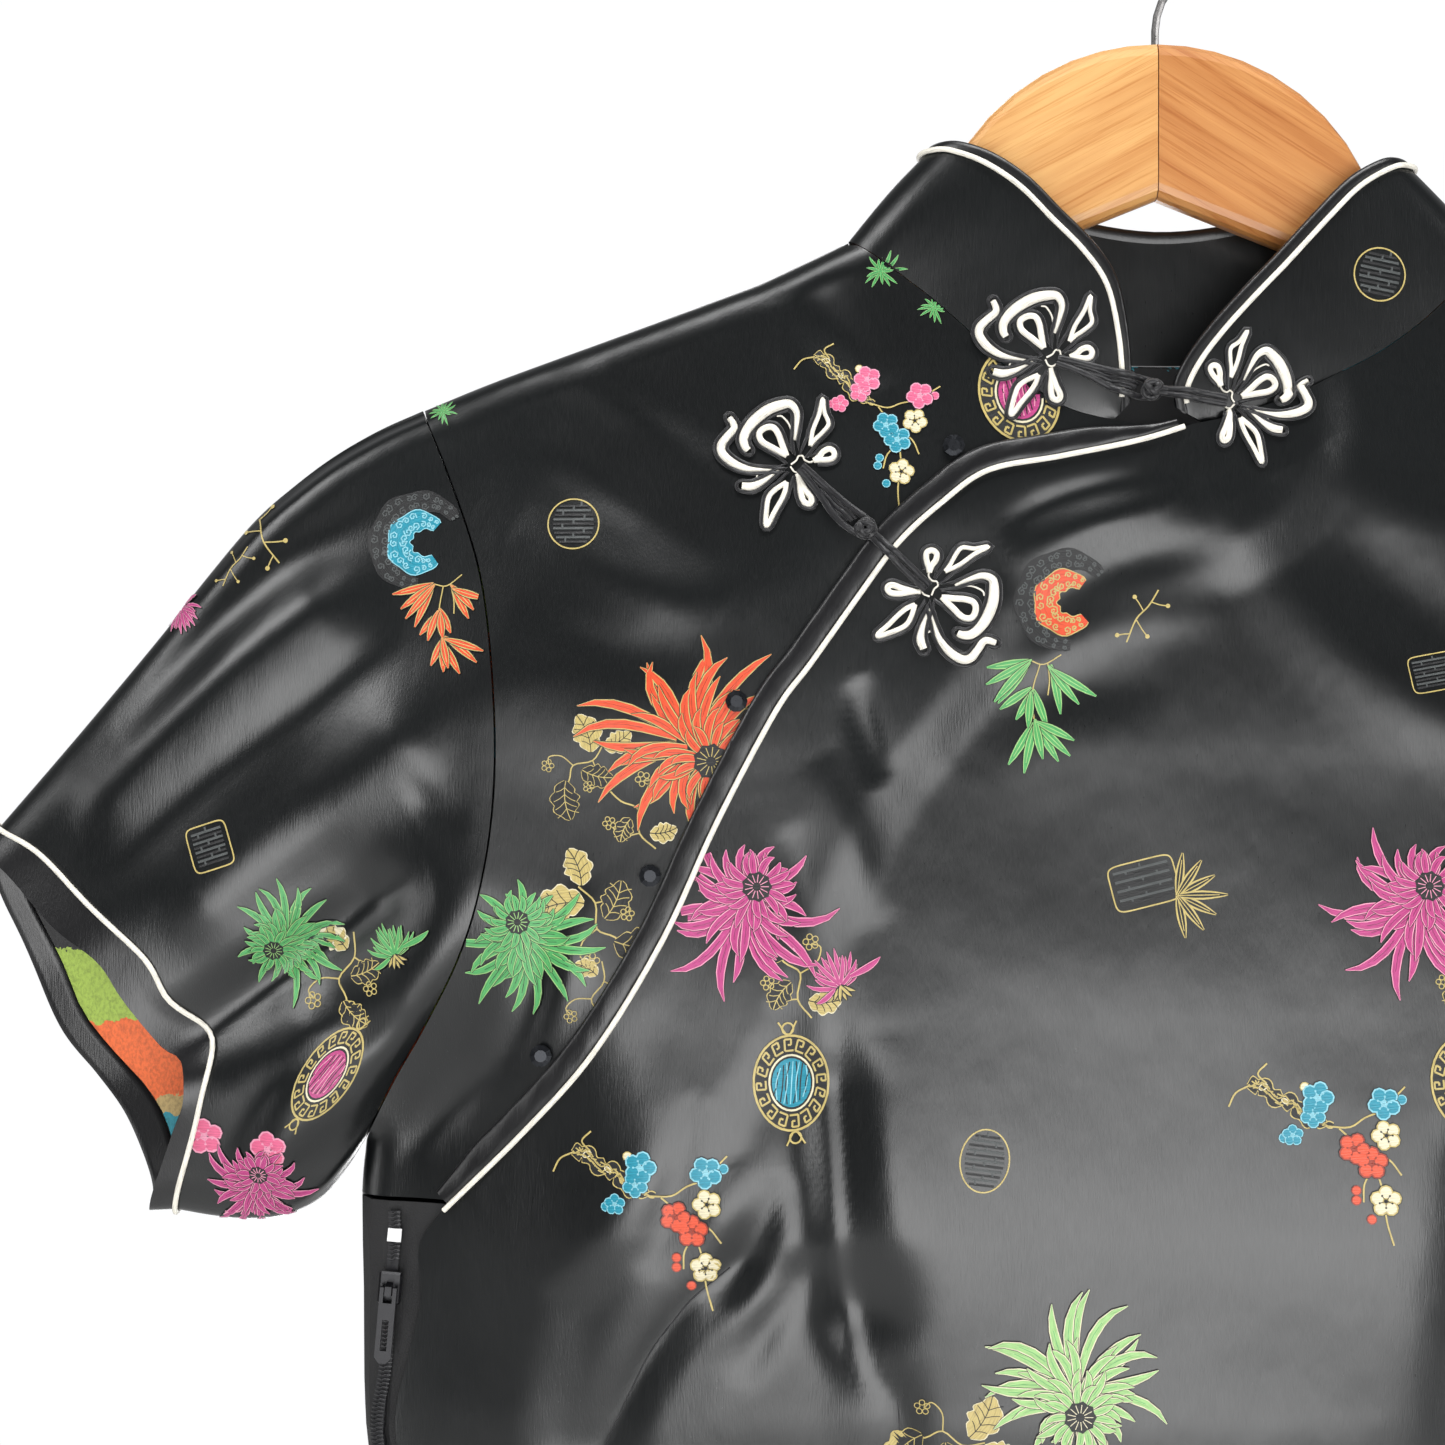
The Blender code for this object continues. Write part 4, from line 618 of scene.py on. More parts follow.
def border(rows, columns):
    """Indices round the edge of a grid."""
    top = np.arange(columns)
    right = np.arange(1, rows) * columns + columns - 1
    bottom = (rows - 1) * columns + np.arange(columns - 2, -1, -1)
    left = np.arange(rows - 2, 0, -1) * columns
    return np.concatenate([top, right, bottom, left])


def shell(name, outer, inner, material, closed=False, facing=-1.0):
    """Outer skin of a piece of cloth with its turned edge down to the inner skin."""
    rows, columns = outer.shape[:2]
    flip = facing < 0.0
    faces = [grid_faces(rows, columns, closed, flip=flip)]
    vertices = [outer.reshape(-1, 3)]
    count = rows * columns
    if closed:
        for row in (0, rows - 1):
            ring = np.arange(columns) + row * columns
            after = np.roll(ring, -1)
            low = np.arange(columns) + count
            quads = np.stack([ring, after, np.roll(low, -1), low], axis=-1)
            faces.append(quads if (row > 0) != flip else quads[:, ::-1])
            vertices.append(inner[row])
            count += columns
    else:
        ring = border(rows, columns)
        low = np.arange(len(ring)) + count
        quads = np.stack([np.roll(ring, -1), ring, low, np.roll(low, -1)], axis=-1)
        faces.append(quads[:, ::-1] if flip else quads)
        vertices.append(inner.reshape(-1, 3)[ring])
    return place_mesh(name, np.vstack(vertices), np.vstack(faces), [material])


def skin(name, grid, material, closed=False, facing=-1.0, step=3, sink=0.7):
    """Inner skin: a thinned copy of the inner grid, sunk a little further in, facing the other way."""
    rows = np.unique(np.append(np.arange(0, grid.shape[0], step), grid.shape[0] - 1))
    columns = np.arange(0, grid.shape[1], step)
    if not closed:
        columns = np.unique(np.append(columns, grid.shape[1] - 1))
    thin = grid[rows][:, columns].copy()
    thin[1:-1, :, 1] -= np.sign(thin[1:-1, :, 1]) * sink * smooth((np.abs(thin[1:-1, :, 1]) - 3.0) / 4.0)
    faces = grid_faces(len(rows), len(columns), closed, flip=facing > 0.0)
    return place_mesh(name, thin.reshape(-1, 3), faces, [material])


def wall(name, outer, inner, material, closed=False, flip=False):
    """Closed solid between two grids."""
    rows, columns = outer.shape[:2]
    count = rows * columns
    faces = [grid_faces(rows, columns, closed, flip=flip), grid_faces(rows, columns, closed, count, not flip)]
    if closed:
        for row in (0, rows - 1):
            ring = np.arange(columns) + row * columns
            quads = np.stack([ring, np.roll(ring, -1), np.roll(ring, -1) + count, ring + count], axis=-1)
            faces.append(quads if (row > 0) != flip else quads[:, ::-1])
    else:
        ring = border(rows, columns)
        quads = np.stack([np.roll(ring, -1), ring, ring + count, np.roll(ring, -1) + count], axis=-1)
        faces.append(quads[:, ::-1] if flip else quads)
    vertices = np.vstack([outer.reshape(-1, 3), inner.reshape(-1, 3)])
    return place_mesh(name, vertices, np.vstack(faces), [material])


def grid_normals(grid, closed=False):
    if closed:
        across = np.roll(grid, -1, axis=1) - np.roll(grid, 1, axis=1)
    else:
        across = np.gradient(grid, axis=1)
    along = np.gradient(grid, axis=0)
    return unit(np.cross(across, along))


def tube(points, radius, sides=10, cyclic=False, flat=1.0, up=None):
    """Vertices, faces and run/around coordinates of a tube along points; flat squeezes it along up."""
    points = np.asarray(points, float)
    count = len(points)
    if cyclic:
        run = np.roll(points, -1, axis=0) - np.roll(points, 1, axis=0)
    else:
        run = np.gradient(points, axis=0)
    run = unit(run)
    if up is None:
        up = np.array([0.0, -1.0, 0.0])
    first = unit(np.cross(run, up))
    second = unit(np.cross(first, run))
    angle = np.linspace(0.0, 2.0 * math.pi, sides, endpoint=False)
    wide = np.broadcast_to(np.asarray(radius, float).reshape(-1, 1, 1), (count, 1, 1))
    ring = (first[:, None, :] * np.cos(angle)[None, :, None]
            + second[:, None, :] * np.sin(angle)[None, :, None] * flat) * wide
    vertices = (points[:, None, :] + ring).reshape(-1, 3)
    steps = np.linalg.norm(np.diff(points, axis=0), axis=1)
    travel = np.concatenate([[0.0], np.cumsum(steps)])
    uvs = np.stack(np.broadcast_arrays(travel[:, None], angle[None, :] * float(np.max(radius))), axis=-1)
    faces = grid_faces(count, sides, True, flip=True).tolist()
    if cyclic:
        last = (count - 1) * sides
        for k in range(sides):
            faces.append([k, (k + 1) % sides, last + (k + 1) % sides, last + k])
    else:
        faces.append(list(range(sides)))
        faces.append([(count - 1) * sides + k for k in reversed(range(sides))])
    return vertices, faces, uvs.reshape(-1, 2)


class Batch:
    """Collects meshes that end as one object with several materials."""

    def __init__(self, materials):
        self.materials = materials
        self.vertices, self.faces, self.uvs, self.slots = [], [], [], []
        self.count = 0

    def add(self, vertices, faces, uvs, slot):
        self.vertices.append(np.asarray(vertices, float))
        self.faces += [[k + self.count for k in face] for face in
                       (faces.tolist() if isinstance(faces, np.ndarray) else faces)]
        self.uvs.append(np.asarray(uvs, float))
        self.slots += [slot] * len(faces)
        self.count += len(vertices)

    def add_many(self, vertices, quads, uvs, slots):
        self.vertices.append(vertices)
        self.faces += (quads + self.count).tolist()
        self.uvs.append(uvs)
        self.slots += list(slots)
        self.count += len(vertices)

    def build(self, name, sharp=math.radians(60.0)):
        return place_mesh(name, np.vstack(self.vertices), self.faces, self.materials, np.vstack(self.uvs),
                          self.slots, sharp)


def dress(obj, slot, *nodes):
    """Fix a piece to the dress's body and hide the CAD nodes it stands for; slot is not used."""
    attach(obj, "dress")
    if nodes:
        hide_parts(*nodes)
    return obj


def piping(name, node, seam, closed=False, up=None):
    """Cream cord along a seam."""
    cord = Batch([CREAM])
    cord.add(*tube(seam, PIPING_RADIUS, 10, closed, up=up), 0)
    return dress(cord.build(name), "cord", node)


def joined(*stretches):
    """Points along paths end to end, each with its number of steps."""
    rows = []
    for path, steps in stretches:
        points = path.at(np.linspace(0.0, 1.0, steps + 1))
        rows.append(points[1:] if rows else points)
    return np.vstack(rows)


def side_stretch(start_z, end_z, sign):
    """Path down the side outline between two heights."""
    rows = [(sign * float(x_at(SIDE_LINE, start_z)), start_z)]
    rows += [(sign * x, z) for x, z in SIDE_LINE if end_z + 1.0 < z < start_z - 1.0]
    rows.append((sign * float(x_at(SIDE_LINE, end_z)), end_z))
    return Path(rows, 1)


def crowded(count):
    """Shares that come closer together towards both ends."""
    line = np.linspace(0.0, 1.0, count)
    return 0.35 * line + 0.65 * (1.0 - np.cos(math.pi * line)) / 2.0


def panel_grids(lefts, rights, columns, facing, detail, lift_at=None):
    shares = crowded(columns)[None, :, None]
    place = lefts[:, None, :] + (rights - lefts)[:, None, :] * shares
    x, z = place[..., 0], place[..., 1]
    lift = lift_at(x, z) if lift_at else np.zeros(x.shape)
    return body_point(x, z, facing, lift, detail), body_point(x, z, facing, lift - CLOTH, detail)


def right_neck_point():
    return NECK_POINT_RIGHT_X, float(z_at(SHOULDER, NECK_POINT_RIGHT_X))


def front_piece():
    neck = Path(NECK_RIGHT)
    shoulder = Path([right_neck_point(), *SHOULDER[2:]])
    neck_rows, chest_rows, zip_rows, skirt_rows, columns = 34, 112, 86, 144, 190
    lefts = joined((neck, neck_rows), (OPENING_PATH, chest_rows), (Path(ZIP_EDGE), zip_rows),
                   (side_stretch(ZIP_END_Z, HEM_Z, -1.0), skirt_rows))
    rights = joined((shoulder, neck_rows), (Path(ARMHOLE), chest_rows),
                    (side_stretch(UNDERARM_Z, ZIP_END_Z, 1.0), zip_rows),
                    (side_stretch(ZIP_END_Z, HEM_Z, 1.0), skirt_rows))
    lefts[0], rights[0] = neck.at(0.03), shoulder.at(0.015)
    outer, inner = panel_grids(lefts, rights, columns, -1.0, front_detail, front_lift)
    shown = dress(shell("front_cloth", outer, inner, BROCADE), "brocade", "front_panel")
    dress(skin("front_reverse", inner, REVERSE), "brocade")
    return shown


def flap_piece():
    shoulder = Path([NECK_POINT_LEFT, *mirrored(SHOULDER[2:])])
    neck = Path(NECK_LEFT)
    tail = Path(((-222.0, UNDERARM_Z), (-223.1, FLAP_END_Z)), 2)
    below = [(6.0, -172.0), (14.0, -184.0)]
    steps = 14
    for step in range(2, steps + 1):
        share = step / steps
        point = OPENING_PATH.at(share) - OPENING_PATH.side(share) * OVERLAP
        below.append((point[0], max(point[1], FLAP_END_Z)))
    neck_rows, chest_rows, tail_rows, columns = 40, 84, 5, 84
    lefts = joined((shoulder, neck_rows), (Path(mirrored(ARMHOLE)), chest_rows), (tail, tail_rows))
    rights = joined((neck, neck_rows), (Path(below), chest_rows + tail_rows))
    lefts[0], rights[0] = shoulder.at(0.02), neck.at(0.03)
    outer, inner = panel_grids(lefts, rights, columns, -1.0, flap_detail)
    shown = dress(shell("flap_cloth", outer, inner, BROCADE), "brocade", "under_flap")
    dress(skin("flap_reverse", inner, REVERSE), "brocade")
    return shown


def back_piece():
    neck = Path(NECK_BACK)
    left_top = Path([*reversed(mirrored(SHOULDER[2:])), NECK_POINT_LEFT])
    right_top = Path([right_neck_point(), *SHOULDER[2:]])
    top = joined((left_top, 26), (neck, 86), (right_top, 26))
    upper = np.concatenate([[0.0, 0.01, 0.03, 0.06], np.linspace(0.1, 0.98, 18)])
    lower = np.concatenate([np.linspace(LEVEL_ROWS_Z, -384.0, 52), np.linspace(-388.0, HEM_Z, 178)])
    rows = [lerp(top[:, 1], LEVEL_ROWS_Z, share) for share in upper]
    rows += [np.full(len(top), level) for level in lower]
    z = np.array(rows)
    x = top[None, :, 0] / ARMHOLE[0][0] * width_at(z)
    outer = body_point(x, z, 1.0, 0.0, back_detail)
    inner = body_point(x, z, 1.0, -CLOTH, back_detail)
    shown = dress(shell("back_cloth", outer, inner, BROCADE, facing=1.0), "brocade", "back_panel")
    dress(skin("back_reverse", inner, REVERSE, facing=1.0), "brocade")
    return shown


# Sleeves
ARMHOLE_HEIGHT, CUFF_HEIGHT = 206.0, 112.0
SLEEVE_FRONT, SLEEVE_BACK = 18.0, 15.0      # how far each half stands out
SLEEVE_PATHS = {
    "top": Path(SLEEVE_TOP), "underarm": Path(SLEEVE_UNDERARM), "hem_front": Path(HEM_FRONT),
    "hem_back": Path(HEM_BACK), "band_front": Path(BAND_FRONT), "band_back": Path(BAND_BACK),
    "armhole": Path([(x + ARMHOLE_GAP, z) for x, z in ARMHOLE]),
}


def patch(share, down, top, underarm, start, end):
    """Points of a four-sided patch from its four edges."""
    s, d = share[..., None], down[..., None]
    corners = (top.at(0.0) * (1.0 - d) + underarm.at(0.0) * d) * (1.0 - s)
    corners = corners + (top.at(1.0) * (1.0 - d) + underarm.at(1.0) * d) * s
    across = start.at(down) * (1.0 - s) + end.at(down) * s
    return across + top.at(share) * (1.0 - d) + underarm.at(share) * d - corners


def sleeve_half(share, down, front):
    """Half of a sleeve, front or back: share runs to the piping at 1 and over the band to 2."""
    paths = SLEEVE_PATHS
    facing = -1.0 if front else 1.0
    hem = paths["hem_front"] if front else paths["hem_back"]
    band = paths["band_front"] if front else paths["band_back"]
    reach = np.minimum(share, 1.0)
    place = patch(reach, down, paths["top"], paths["underarm"], paths["armhole"], hem)
    beyond = np.clip(share - 1.0, 0.0, 1.0)[..., None]
    place = np.where(share[..., None] > 1.0, hem.at(down) * (1.0 - beyond) + band.at(down) * beyond, place)
    distance = np.minimum(down, 1.0 - down) * lerp(ARMHOLE_HEIGHT, CUFF_HEIGHT, reach)
    cosine = 1.0 - np.minimum(distance / EDGE_REACH, 1.0)
    full = (SLEEVE_FRONT if front else SLEEVE_BACK) - EDGE_DEPTH
    puff = EDGE_DEPTH * np.sqrt(1.0 - cosine ** 2) + full * smooth(distance / SLEEVE_RISE)
    start = paths["armhole"].at(down)
    joint = np.abs(body_point(start[..., 0], start[..., 1], facing)[..., 1]) * smooth(distance / 4.0)
    depth = lerp(joint, puff, smooth(reach * 1.6))
    calm = smooth(distance / 20.0) * smooth(reach * 5.0)
    if front:
        narrow = smooth(distance / 10.0) * smooth(reach * 7.0)
        depth = depth + folds(-place[..., 0], place[..., 1], SLEEVE_FOLDS) * calm
        depth = depth + creases(-place[..., 0], place[..., 1], SLEEVE_CREASES) * narrow
    depth = depth + unrest(place[..., 0], place[..., 1], 3.0 * facing) * calm
    return np.stack([place[..., 0], facing * depth, place[..., 1]], axis=-1)


def sleeve_grid(first, last, rows, half_turns, side):
    share = np.linspace(first, last, rows)[:, None]
    angle = np.linspace(0.0, math.pi, half_turns + 1)
    down = (1.0 - np.cos(angle)) / 2.0
    down = 0.3 * angle / math.pi + 0.7 * down
    share, front_down = np.broadcast_arrays(share, down[None, :])
    front = sleeve_half(share, front_down, True)
    back = sleeve_half(share, front_down, False)[:, -2:0:-1]
    grid = np.concatenate([front, back], axis=1)
    return grid * np.array([side, 1.0, 1.0])


def sleeve_pieces(name, side):
    """Cloth, satin band and piping of one sleeve; side is -1 for the one at the left of the picture."""
    for kind, node, first, last, rows, material, lining, step, slot in (
            ("cloth", f"sleeve_{name}", 0.0, 1.0, 76, BROCADE, REVERSE, 3, "brocade"),
            ("band", f"sleeve_band_{name}", 1.02, 2.0, 9, SATIN, SATIN, 1, "satin")):
        grid = sleeve_grid(first, last, rows, 84, side)
        away = grid_normals(grid, True) * side
        inner = grid - away * CLOTH
        piece = dress(shell(f"sleeve_{name}_{kind}", grid, inner, material, True, side), slot, node)
        dress(skin(f"sleeve_{name}_{kind}_inside", inner, lining, True, side, step), slot)
        if kind == "cloth":
            shown, seam = piece, grid[-1] + away[-1] * 0.9
    piping(f"sleeve_{name}_piping_cord", f"sleeve_piping_{name}", seam, True, UPRIGHT)
    return shown


def strip(name, grid, node, flip):
    """Satin binding from the rows of its profile."""
    faces = grid_faces(*grid.shape[:2], flip=flip)
    return dress(place_mesh(name, grid.reshape(-1, 3), faces, [SATIN]), "satin", node)


# Collar
NECK_PATHS = (Path(NECK_LEFT), Path(NECK_BACK), Path(NECK_RIGHT))


def neck_points(places):
    """Seam points of the collar: left front below 0, back from 0 to 1, right front above."""
    feet = []
    for place in places:
        if place < 0.0:
            seam, facing = NECK_PATHS[0].at(-place), -1.0
        elif place > 1.0:
            seam, facing = NECK_PATHS[2].at(place - 1.0), -1.0
        else:
            seam, facing = NECK_PATHS[1].at(place), 1.0
        point = body_point(seam[0], seam[1], facing)
        if abs(place) < 1e-9 or abs(place - 1.0) < 1e-9:
            point[1] = 0.0
        feet.append(point)
    return np.array(feet)


def collar_rulings(steps=6):
    tops = Path([row[1:] for row in COLLAR], steps).points
    table = np.array(COLLAR)[:, 0]
    places = np.interp(np.arange(len(tops)) / steps, np.arange(len(table)), table)
    feet = neck_points(places)
    near_shoulder = np.minimum(np.abs(places), np.abs(places - 1.0)) < 0.021
    eased_feet = Path(neck_points(table), steps).points
    feet[near_shoulder] = eased_feet[near_shoulder]
    return feet, tops


def collar_pieces():
    feet, tops = collar_rulings()
    height = np.linalg.norm(tops - feet, axis=1, keepdims=True)
    up = unit(tops - feet)
    shares = np.linspace(0.0, 1.0, 16)
    end = np.maximum(height - COLLAR_BINDING - 0.3, COLLAR_LIFT + 0.6)
    start = np.minimum(COLLAR_LIFT - 0.6, end - 0.4)
    body = np.stack([feet + up * (start + (end - start) * share) for share in shares])
    normals = grid_normals(body)
    outside = -normals[len(normals) // 2]
    outside = outside * np.sign(np.sum(outside * (tops * [1.0, 1.0, 0.0]), axis=1, keepdims=True).mean())
    swell = np.sin(math.pi * shares)[:, None, None]
    wave = unrest(body[..., 0] * 1.6, body[..., 2] * 1.6, 0.4)[..., None] * 0.5
    outer = body + outside[None] * (swell * 0.5 + wave * swell)
    inner = body - outside[None] * COLLAR_WALL
    flip = float(np.sum(grid_normals(outer)[8] * outside)) < 0.0
    cloth = dress(wall("collar_cloth", outer, inner, BROCADE, flip=flip), "brocade", "collar")
    profile = ((-3.5, 0.0), (-3.3, 0.35), (-2.4, 0.55), (-1.2, 0.55), (-0.35, 0.4), (0.15, -0.1), (0.3, -0.8),
               (0.15, -1.5), (-0.35, -2.0), (-1.2, -2.15), (-2.4, -2.15), (-3.4, -1.8))
    rim = np.stack([feet + up * np.maximum(height + rise, 0.3) + outside * reach for rise, reach in profile])
    binding = strip("collar_binding_satin", rim, "collar_binding", flip)
    seam = feet + up * np.maximum(height - COLLAR_BINDING - 0.5, 0.4) + outside * (PIPING_RADIUS + 0.2)
    return cloth, binding, piping("collar_piping_cord", "collar_piping", seam[3:-3], up=UPRIGHT)


# Binding and piping of the slanting opening
def opening_trim():
    shares = np.linspace(0.012, 0.994, 230)
    point, square = OPENING_PATH.at(shares), OPENING_PATH.side(shares)
    width = lerp(2.6, BINDING_WIDTH, smooth(shares * 9.0)) - 2.0 * smooth((shares - 0.93) / 0.07)
    rows = []
    # Section: share of the width, rise
    profile = ((0.0, -0.9), (0.02, 0.0), (0.12, 0.35), (0.35, 0.55), (0.62, 0.5), (0.86, 0.3), (0.97, 0.0),
               (1.0, -0.6), (0.97, -1.2))
    travel = shares * OPENING_PATH.length
    for across, crown in profile:
        place = point + square * lerp(0.4, width, across)[:, None]
        ripple = np.sin(travel / 1.9 + 4.0 * across + 1.2 * np.sin(travel / 13.0))
        level = FLAP_LIFT - 0.1 + crown + 0.14 * ripple * math.sin(math.pi * across)
        rows.append(body_point(place[:, 0], place[:, 1], -1.0, level))
    binding = strip("opening_binding_satin", np.stack(rows), "opening_binding", True)
    seam_shares = np.linspace(0.008, 1.0, 260)
    place = OPENING_PATH.at(seam_shares)
    seam = body_point(place[:, 0], place[:, 1], -1.0, FLAP_LIFT + PIPING_RADIUS + 0.25)
    return binding, piping("opening_piping_cord", "opening_piping", seam)


def repaint(name, material):
    """Give a CAD node that stays as it is its look."""
    node = NODES[name]
    node.data.materials.clear()
    node.data.materials.append(material)


def zip_tape():
    """The tape's own form with its seams closed, so that it is one mesh."""
    source = NODES["zip_tape"]
    form = bmesh.new()
    form.from_mesh(source.data)
    form.transform(source.matrix_world)
    bmesh.ops.remove_doubles(form, verts=form.verts, dist=1e-6)
    bmesh.ops.recalc_face_normals(form, faces=form.faces)
    mesh = bpy.data.meshes.new("zip_tape_weave")
    form.to_mesh(mesh)
    form.free()
    mesh.materials.append(ZIP_TAPE)
    made = bpy.data.objects.new("zip_tape_weave", mesh)
    bpy.context.collection.objects.link(made)
    dress(made, "zip_tape", "zip_tape")


# Woven figures: thin flat pieces drawn in millimetres, then laid on the cloth
THREADS = {"gold": "C6B26C", "orange": "E4502A", "magenta": "BC3B80", "pink": "E5668F", "green": "4FA95E",
           "lime": "9CCB7E", "teal": "1490A8", "cream": "E8DFBE", "black": "0E0F11", "grey": "474B4B",
           "sky": "8CCEDD", "rust": "9E3016", "rose": "EE9DB8", "wine": "6E1C48"}
THREAD_NAMES = tuple(THREADS)
LAYER = 0.012            # how much higher each piece of a figure lies than the one before
THREAD_LIFT = 0.13       # the lowest threads above the cloth
STEEPEST = 0.12          # least share of a normal that faces the viewer where threads still lie


def turned(x, y, turn):
    return np.stack([x * math.cos(turn) - y * math.sin(turn), x * math.sin(turn) + y * math.cos(turn)], axis=-1)


def heading_of(angle):
    """Unit vector, or vectors, at an angle."""
    return np.stack([np.cos(angle), np.sin(angle)], axis=-1)


def left_of(line):
    run = unit(np.gradient(line, axis=0))
    return np.stack([-run[:, 1], run[:, 0]], axis=-1)


class Figure:
    """Ribbons and discs in a plane, each of quads of one thread colour at the level set last."""

    def __init__(self):
        self.points, self.quads, self.uvs, self.tones, self.rise = [], [], [], [], []
        self.count = 0
        self.level, self.step = 0.0, LAYER

    def lift(self, level, step=LAYER):
        """Level of the next piece, and how much higher each one after it lies."""
        self.level, self.step = level, step

    def grid(self, points, uvs, tone, closed=False):
        rows, columns = points.shape[:2]
        quads = grid_faces(rows, columns, closed, self.count)
        self.points.append(points.reshape(-1, 2))
        self.uvs.append(uvs.reshape(-1, 2))
        self.quads.append(quads)
        self.tones.append(np.full(len(quads), THREAD_NAMES.index(tone)))
        self.rise.append(np.full(rows * columns, self.level))
        self.level += self.step
        self.count += rows * columns

    def ribbon(self, spine, half_widths, tone, columns=3):
        spine = np.asarray(spine, float)
        half = np.broadcast_to(np.asarray(half_widths, float), (len(spine),))
        square = left_of(spine)
        across = np.linspace(-1.0, 1.0, columns)
        points = spine[:, None, :] + square[:, None, :] * (half[:, None] * across)[..., None]
        travel = np.concatenate([[0.0], np.cumsum(np.linalg.norm(np.diff(spine, axis=0), axis=1))])
        uvs = np.stack(np.broadcast_arrays(travel[:, None], half[:, None] * across), axis=-1)
        self.grid(points, uvs, tone)

    def line(self, spine, half_width, tone, steps=4):
        self.ribbon(Path(spine, steps).points, half_width, tone, 2)

    def disc(self, centre, radius, tone, stretch=1.0, turn=0.0, sides=14, wave=0.0, lobes=5, hole=0.02):
        angle = np.linspace(0.0, 2.0 * math.pi, sides, endpoint=False)
        reach = radius * (1.0 + wave * np.cos(lobes * angle))
        rings = []
        for share in np.linspace(hole, 1.0, 3 if radius < 4.0 else 6):
            rings.append(turned(reach * share * np.cos(angle), reach * share * np.sin(angle) * stretch, turn))
        points = np.stack(rings)
        self.grid(points + np.asarray(centre, float), points, tone, True)

    def ring(self, centre, radius, half_width, tone, stretch=1.0, turn=0.0, sides=28):
        angle = np.linspace(0.0, 2.0 * math.pi, sides + 1)
        spine = turned(radius * np.cos(angle), radius * np.sin(angle) * stretch, turn)
        self.ribbon(spine + np.asarray(centre, float), half_width, tone, 2)


def petal(figure, level, start, heading, length, half, curl, tone, edge="gold", rows=7, vein="black"):
    """A long petal that curls at its end, on a dark shadow line, with a pale edge and a dark middle line."""
    share = np.linspace(0.0, 1.0, rows)
    angle = heading + curl * share ** 2.0
    steps = heading_of(angle) * (length / (rows - 1))
    spine = np.vstack([[start], start + np.cumsum(steps, axis=0)[:-1]])
    body = half * (0.30 + 0.70 * np.sin(math.pi * (0.10 + 0.66 * share))) * (1.0 - 0.96 * share ** 5)
    figure.lift(level)
    figure.ribbon(spine, body + 0.26, "black")
    figure.ribbon(spine, body + 0.09, edge)
    figure.ribbon(spine, body * 0.84, tone)
    if vein and length > 5.0:
        figure.ribbon(spine[2:-2], 0.07, vein, 2)


def chrysanthemum(tone, radius, seed, lean, edge="gold", vein="rust"):
    """Chrysanthemum seen askew: flame-like petals fly out on the side of its lean, and short ones
    crowd round an eye on the other side."""
    dice = random.Random(seed)
    figure = Figure()
    eye = -0.26 * radius * np.array([math.cos(lean), math.sin(lean)])

    def tier(number, count, spread, reach, low, high, half, centre, out):
        for k in range(count):
            turn = spread * ((k + 0.5) / count - 0.5) * 2.0
            heading = lean + turn + dice.uniform(-0.13, 0.13)
            length = radius * reach * dice.uniform(low, high)
            curl = dice.uniform(0.5, 1.5) * (1.0 if turn > 0.0 else -1.0)
            curl *= -0.7 if dice.random() < 0.3 else 1.0
            start = centre + np.array([math.cos(heading), math.sin(heading)]) * radius * out
            level, wide = 0.07 * number + 0.04 * (k % 2), half * (radius / 24.0) ** 0.5
            petal(figure, level, start, heading, length, wide, curl, tone, edge, vein=vein)

    tier(0, 15, 1.9, 1.0, 0.66, 1.0, 1.25, np.zeros(2), 0.12)
    tier(1, 9, 3.1, 0.62, 0.7, 1.05, 1.15, eye * 0.6, 0.12)
    tier(2, 12, 2.2, 0.62, 0.75, 1.0, 1.15, eye * 0.3, 0.08)
    tier(3, 15, 3.14, 0.42, 0.8, 1.0, 1.05, eye * 0.8, 0.08)
    tier(4, 13, 3.14, 0.30, 0.85, 1.0, 1.0, eye, 0.10)
    figure.lift(0.40, 0.004)
    figure.disc(eye, radius * 0.155, "black", sides=18, wave=0.07, lobes=9)
    for k in range(13):
        angle = 2.0 * math.pi * k / 13.0
        out = np.array([math.cos(angle), math.sin(angle)]) * radius
        figure.line((eye + out * 0.045, eye + out * 0.085, eye + out * 0.13), 0.11, edge, 1)
    figure.disc(eye, radius * 0.035, "black", sides=8)
    return figure


def small_mum(tone, radius, seed, edge="gold"):
    """Half-open flower with its petals turned up like a cup, one of them flung aside."""
    dice = random.Random(seed)
    figure = Figure()
    for k in range(17):
        heading = 1.57 + (k - 8) * 0.17 + dice.uniform(-0.06, 0.06)
        start = np.array([(k - 8) * 0.12 * radius / 10.0, -0.3 * radius])
        petal(figure, 0.04 * (k % 3), start, heading, radius * dice.uniform(0.8, 1.1), 0.62, (8 - k) * 0.12,
              tone, edge, 6, None)
    # The petals flung aside: start x and y, heading, length, half width, curl
    for x, y, heading, reach, half, curl in ((0.35, -0.1, 0.1, 0.95, 0.9, 0.5),
                                             (-0.2, -0.3, 3.6, 0.6, 0.7, -0.7)):
        start = np.array([x, y]) * radius
        petal(figure, 0.12, start, heading, radius * reach, half, curl, tone, edge, 7, None)
    calyx = np.array([0.0, -0.25 * radius])
    for k in range(5):
        petal(figure, 0.12 + 0.03 * (k % 2), calyx, -2.4 + 0.42 * k, radius * 0.42, 0.5, 0.3, "gold", "black", 5,
              None)
    return figure


EDGE_OF = {"teal": "sky", "orange": "rust", "pink": "rose", "cream": "gold", "gold": "cream", "magenta": "rose"}


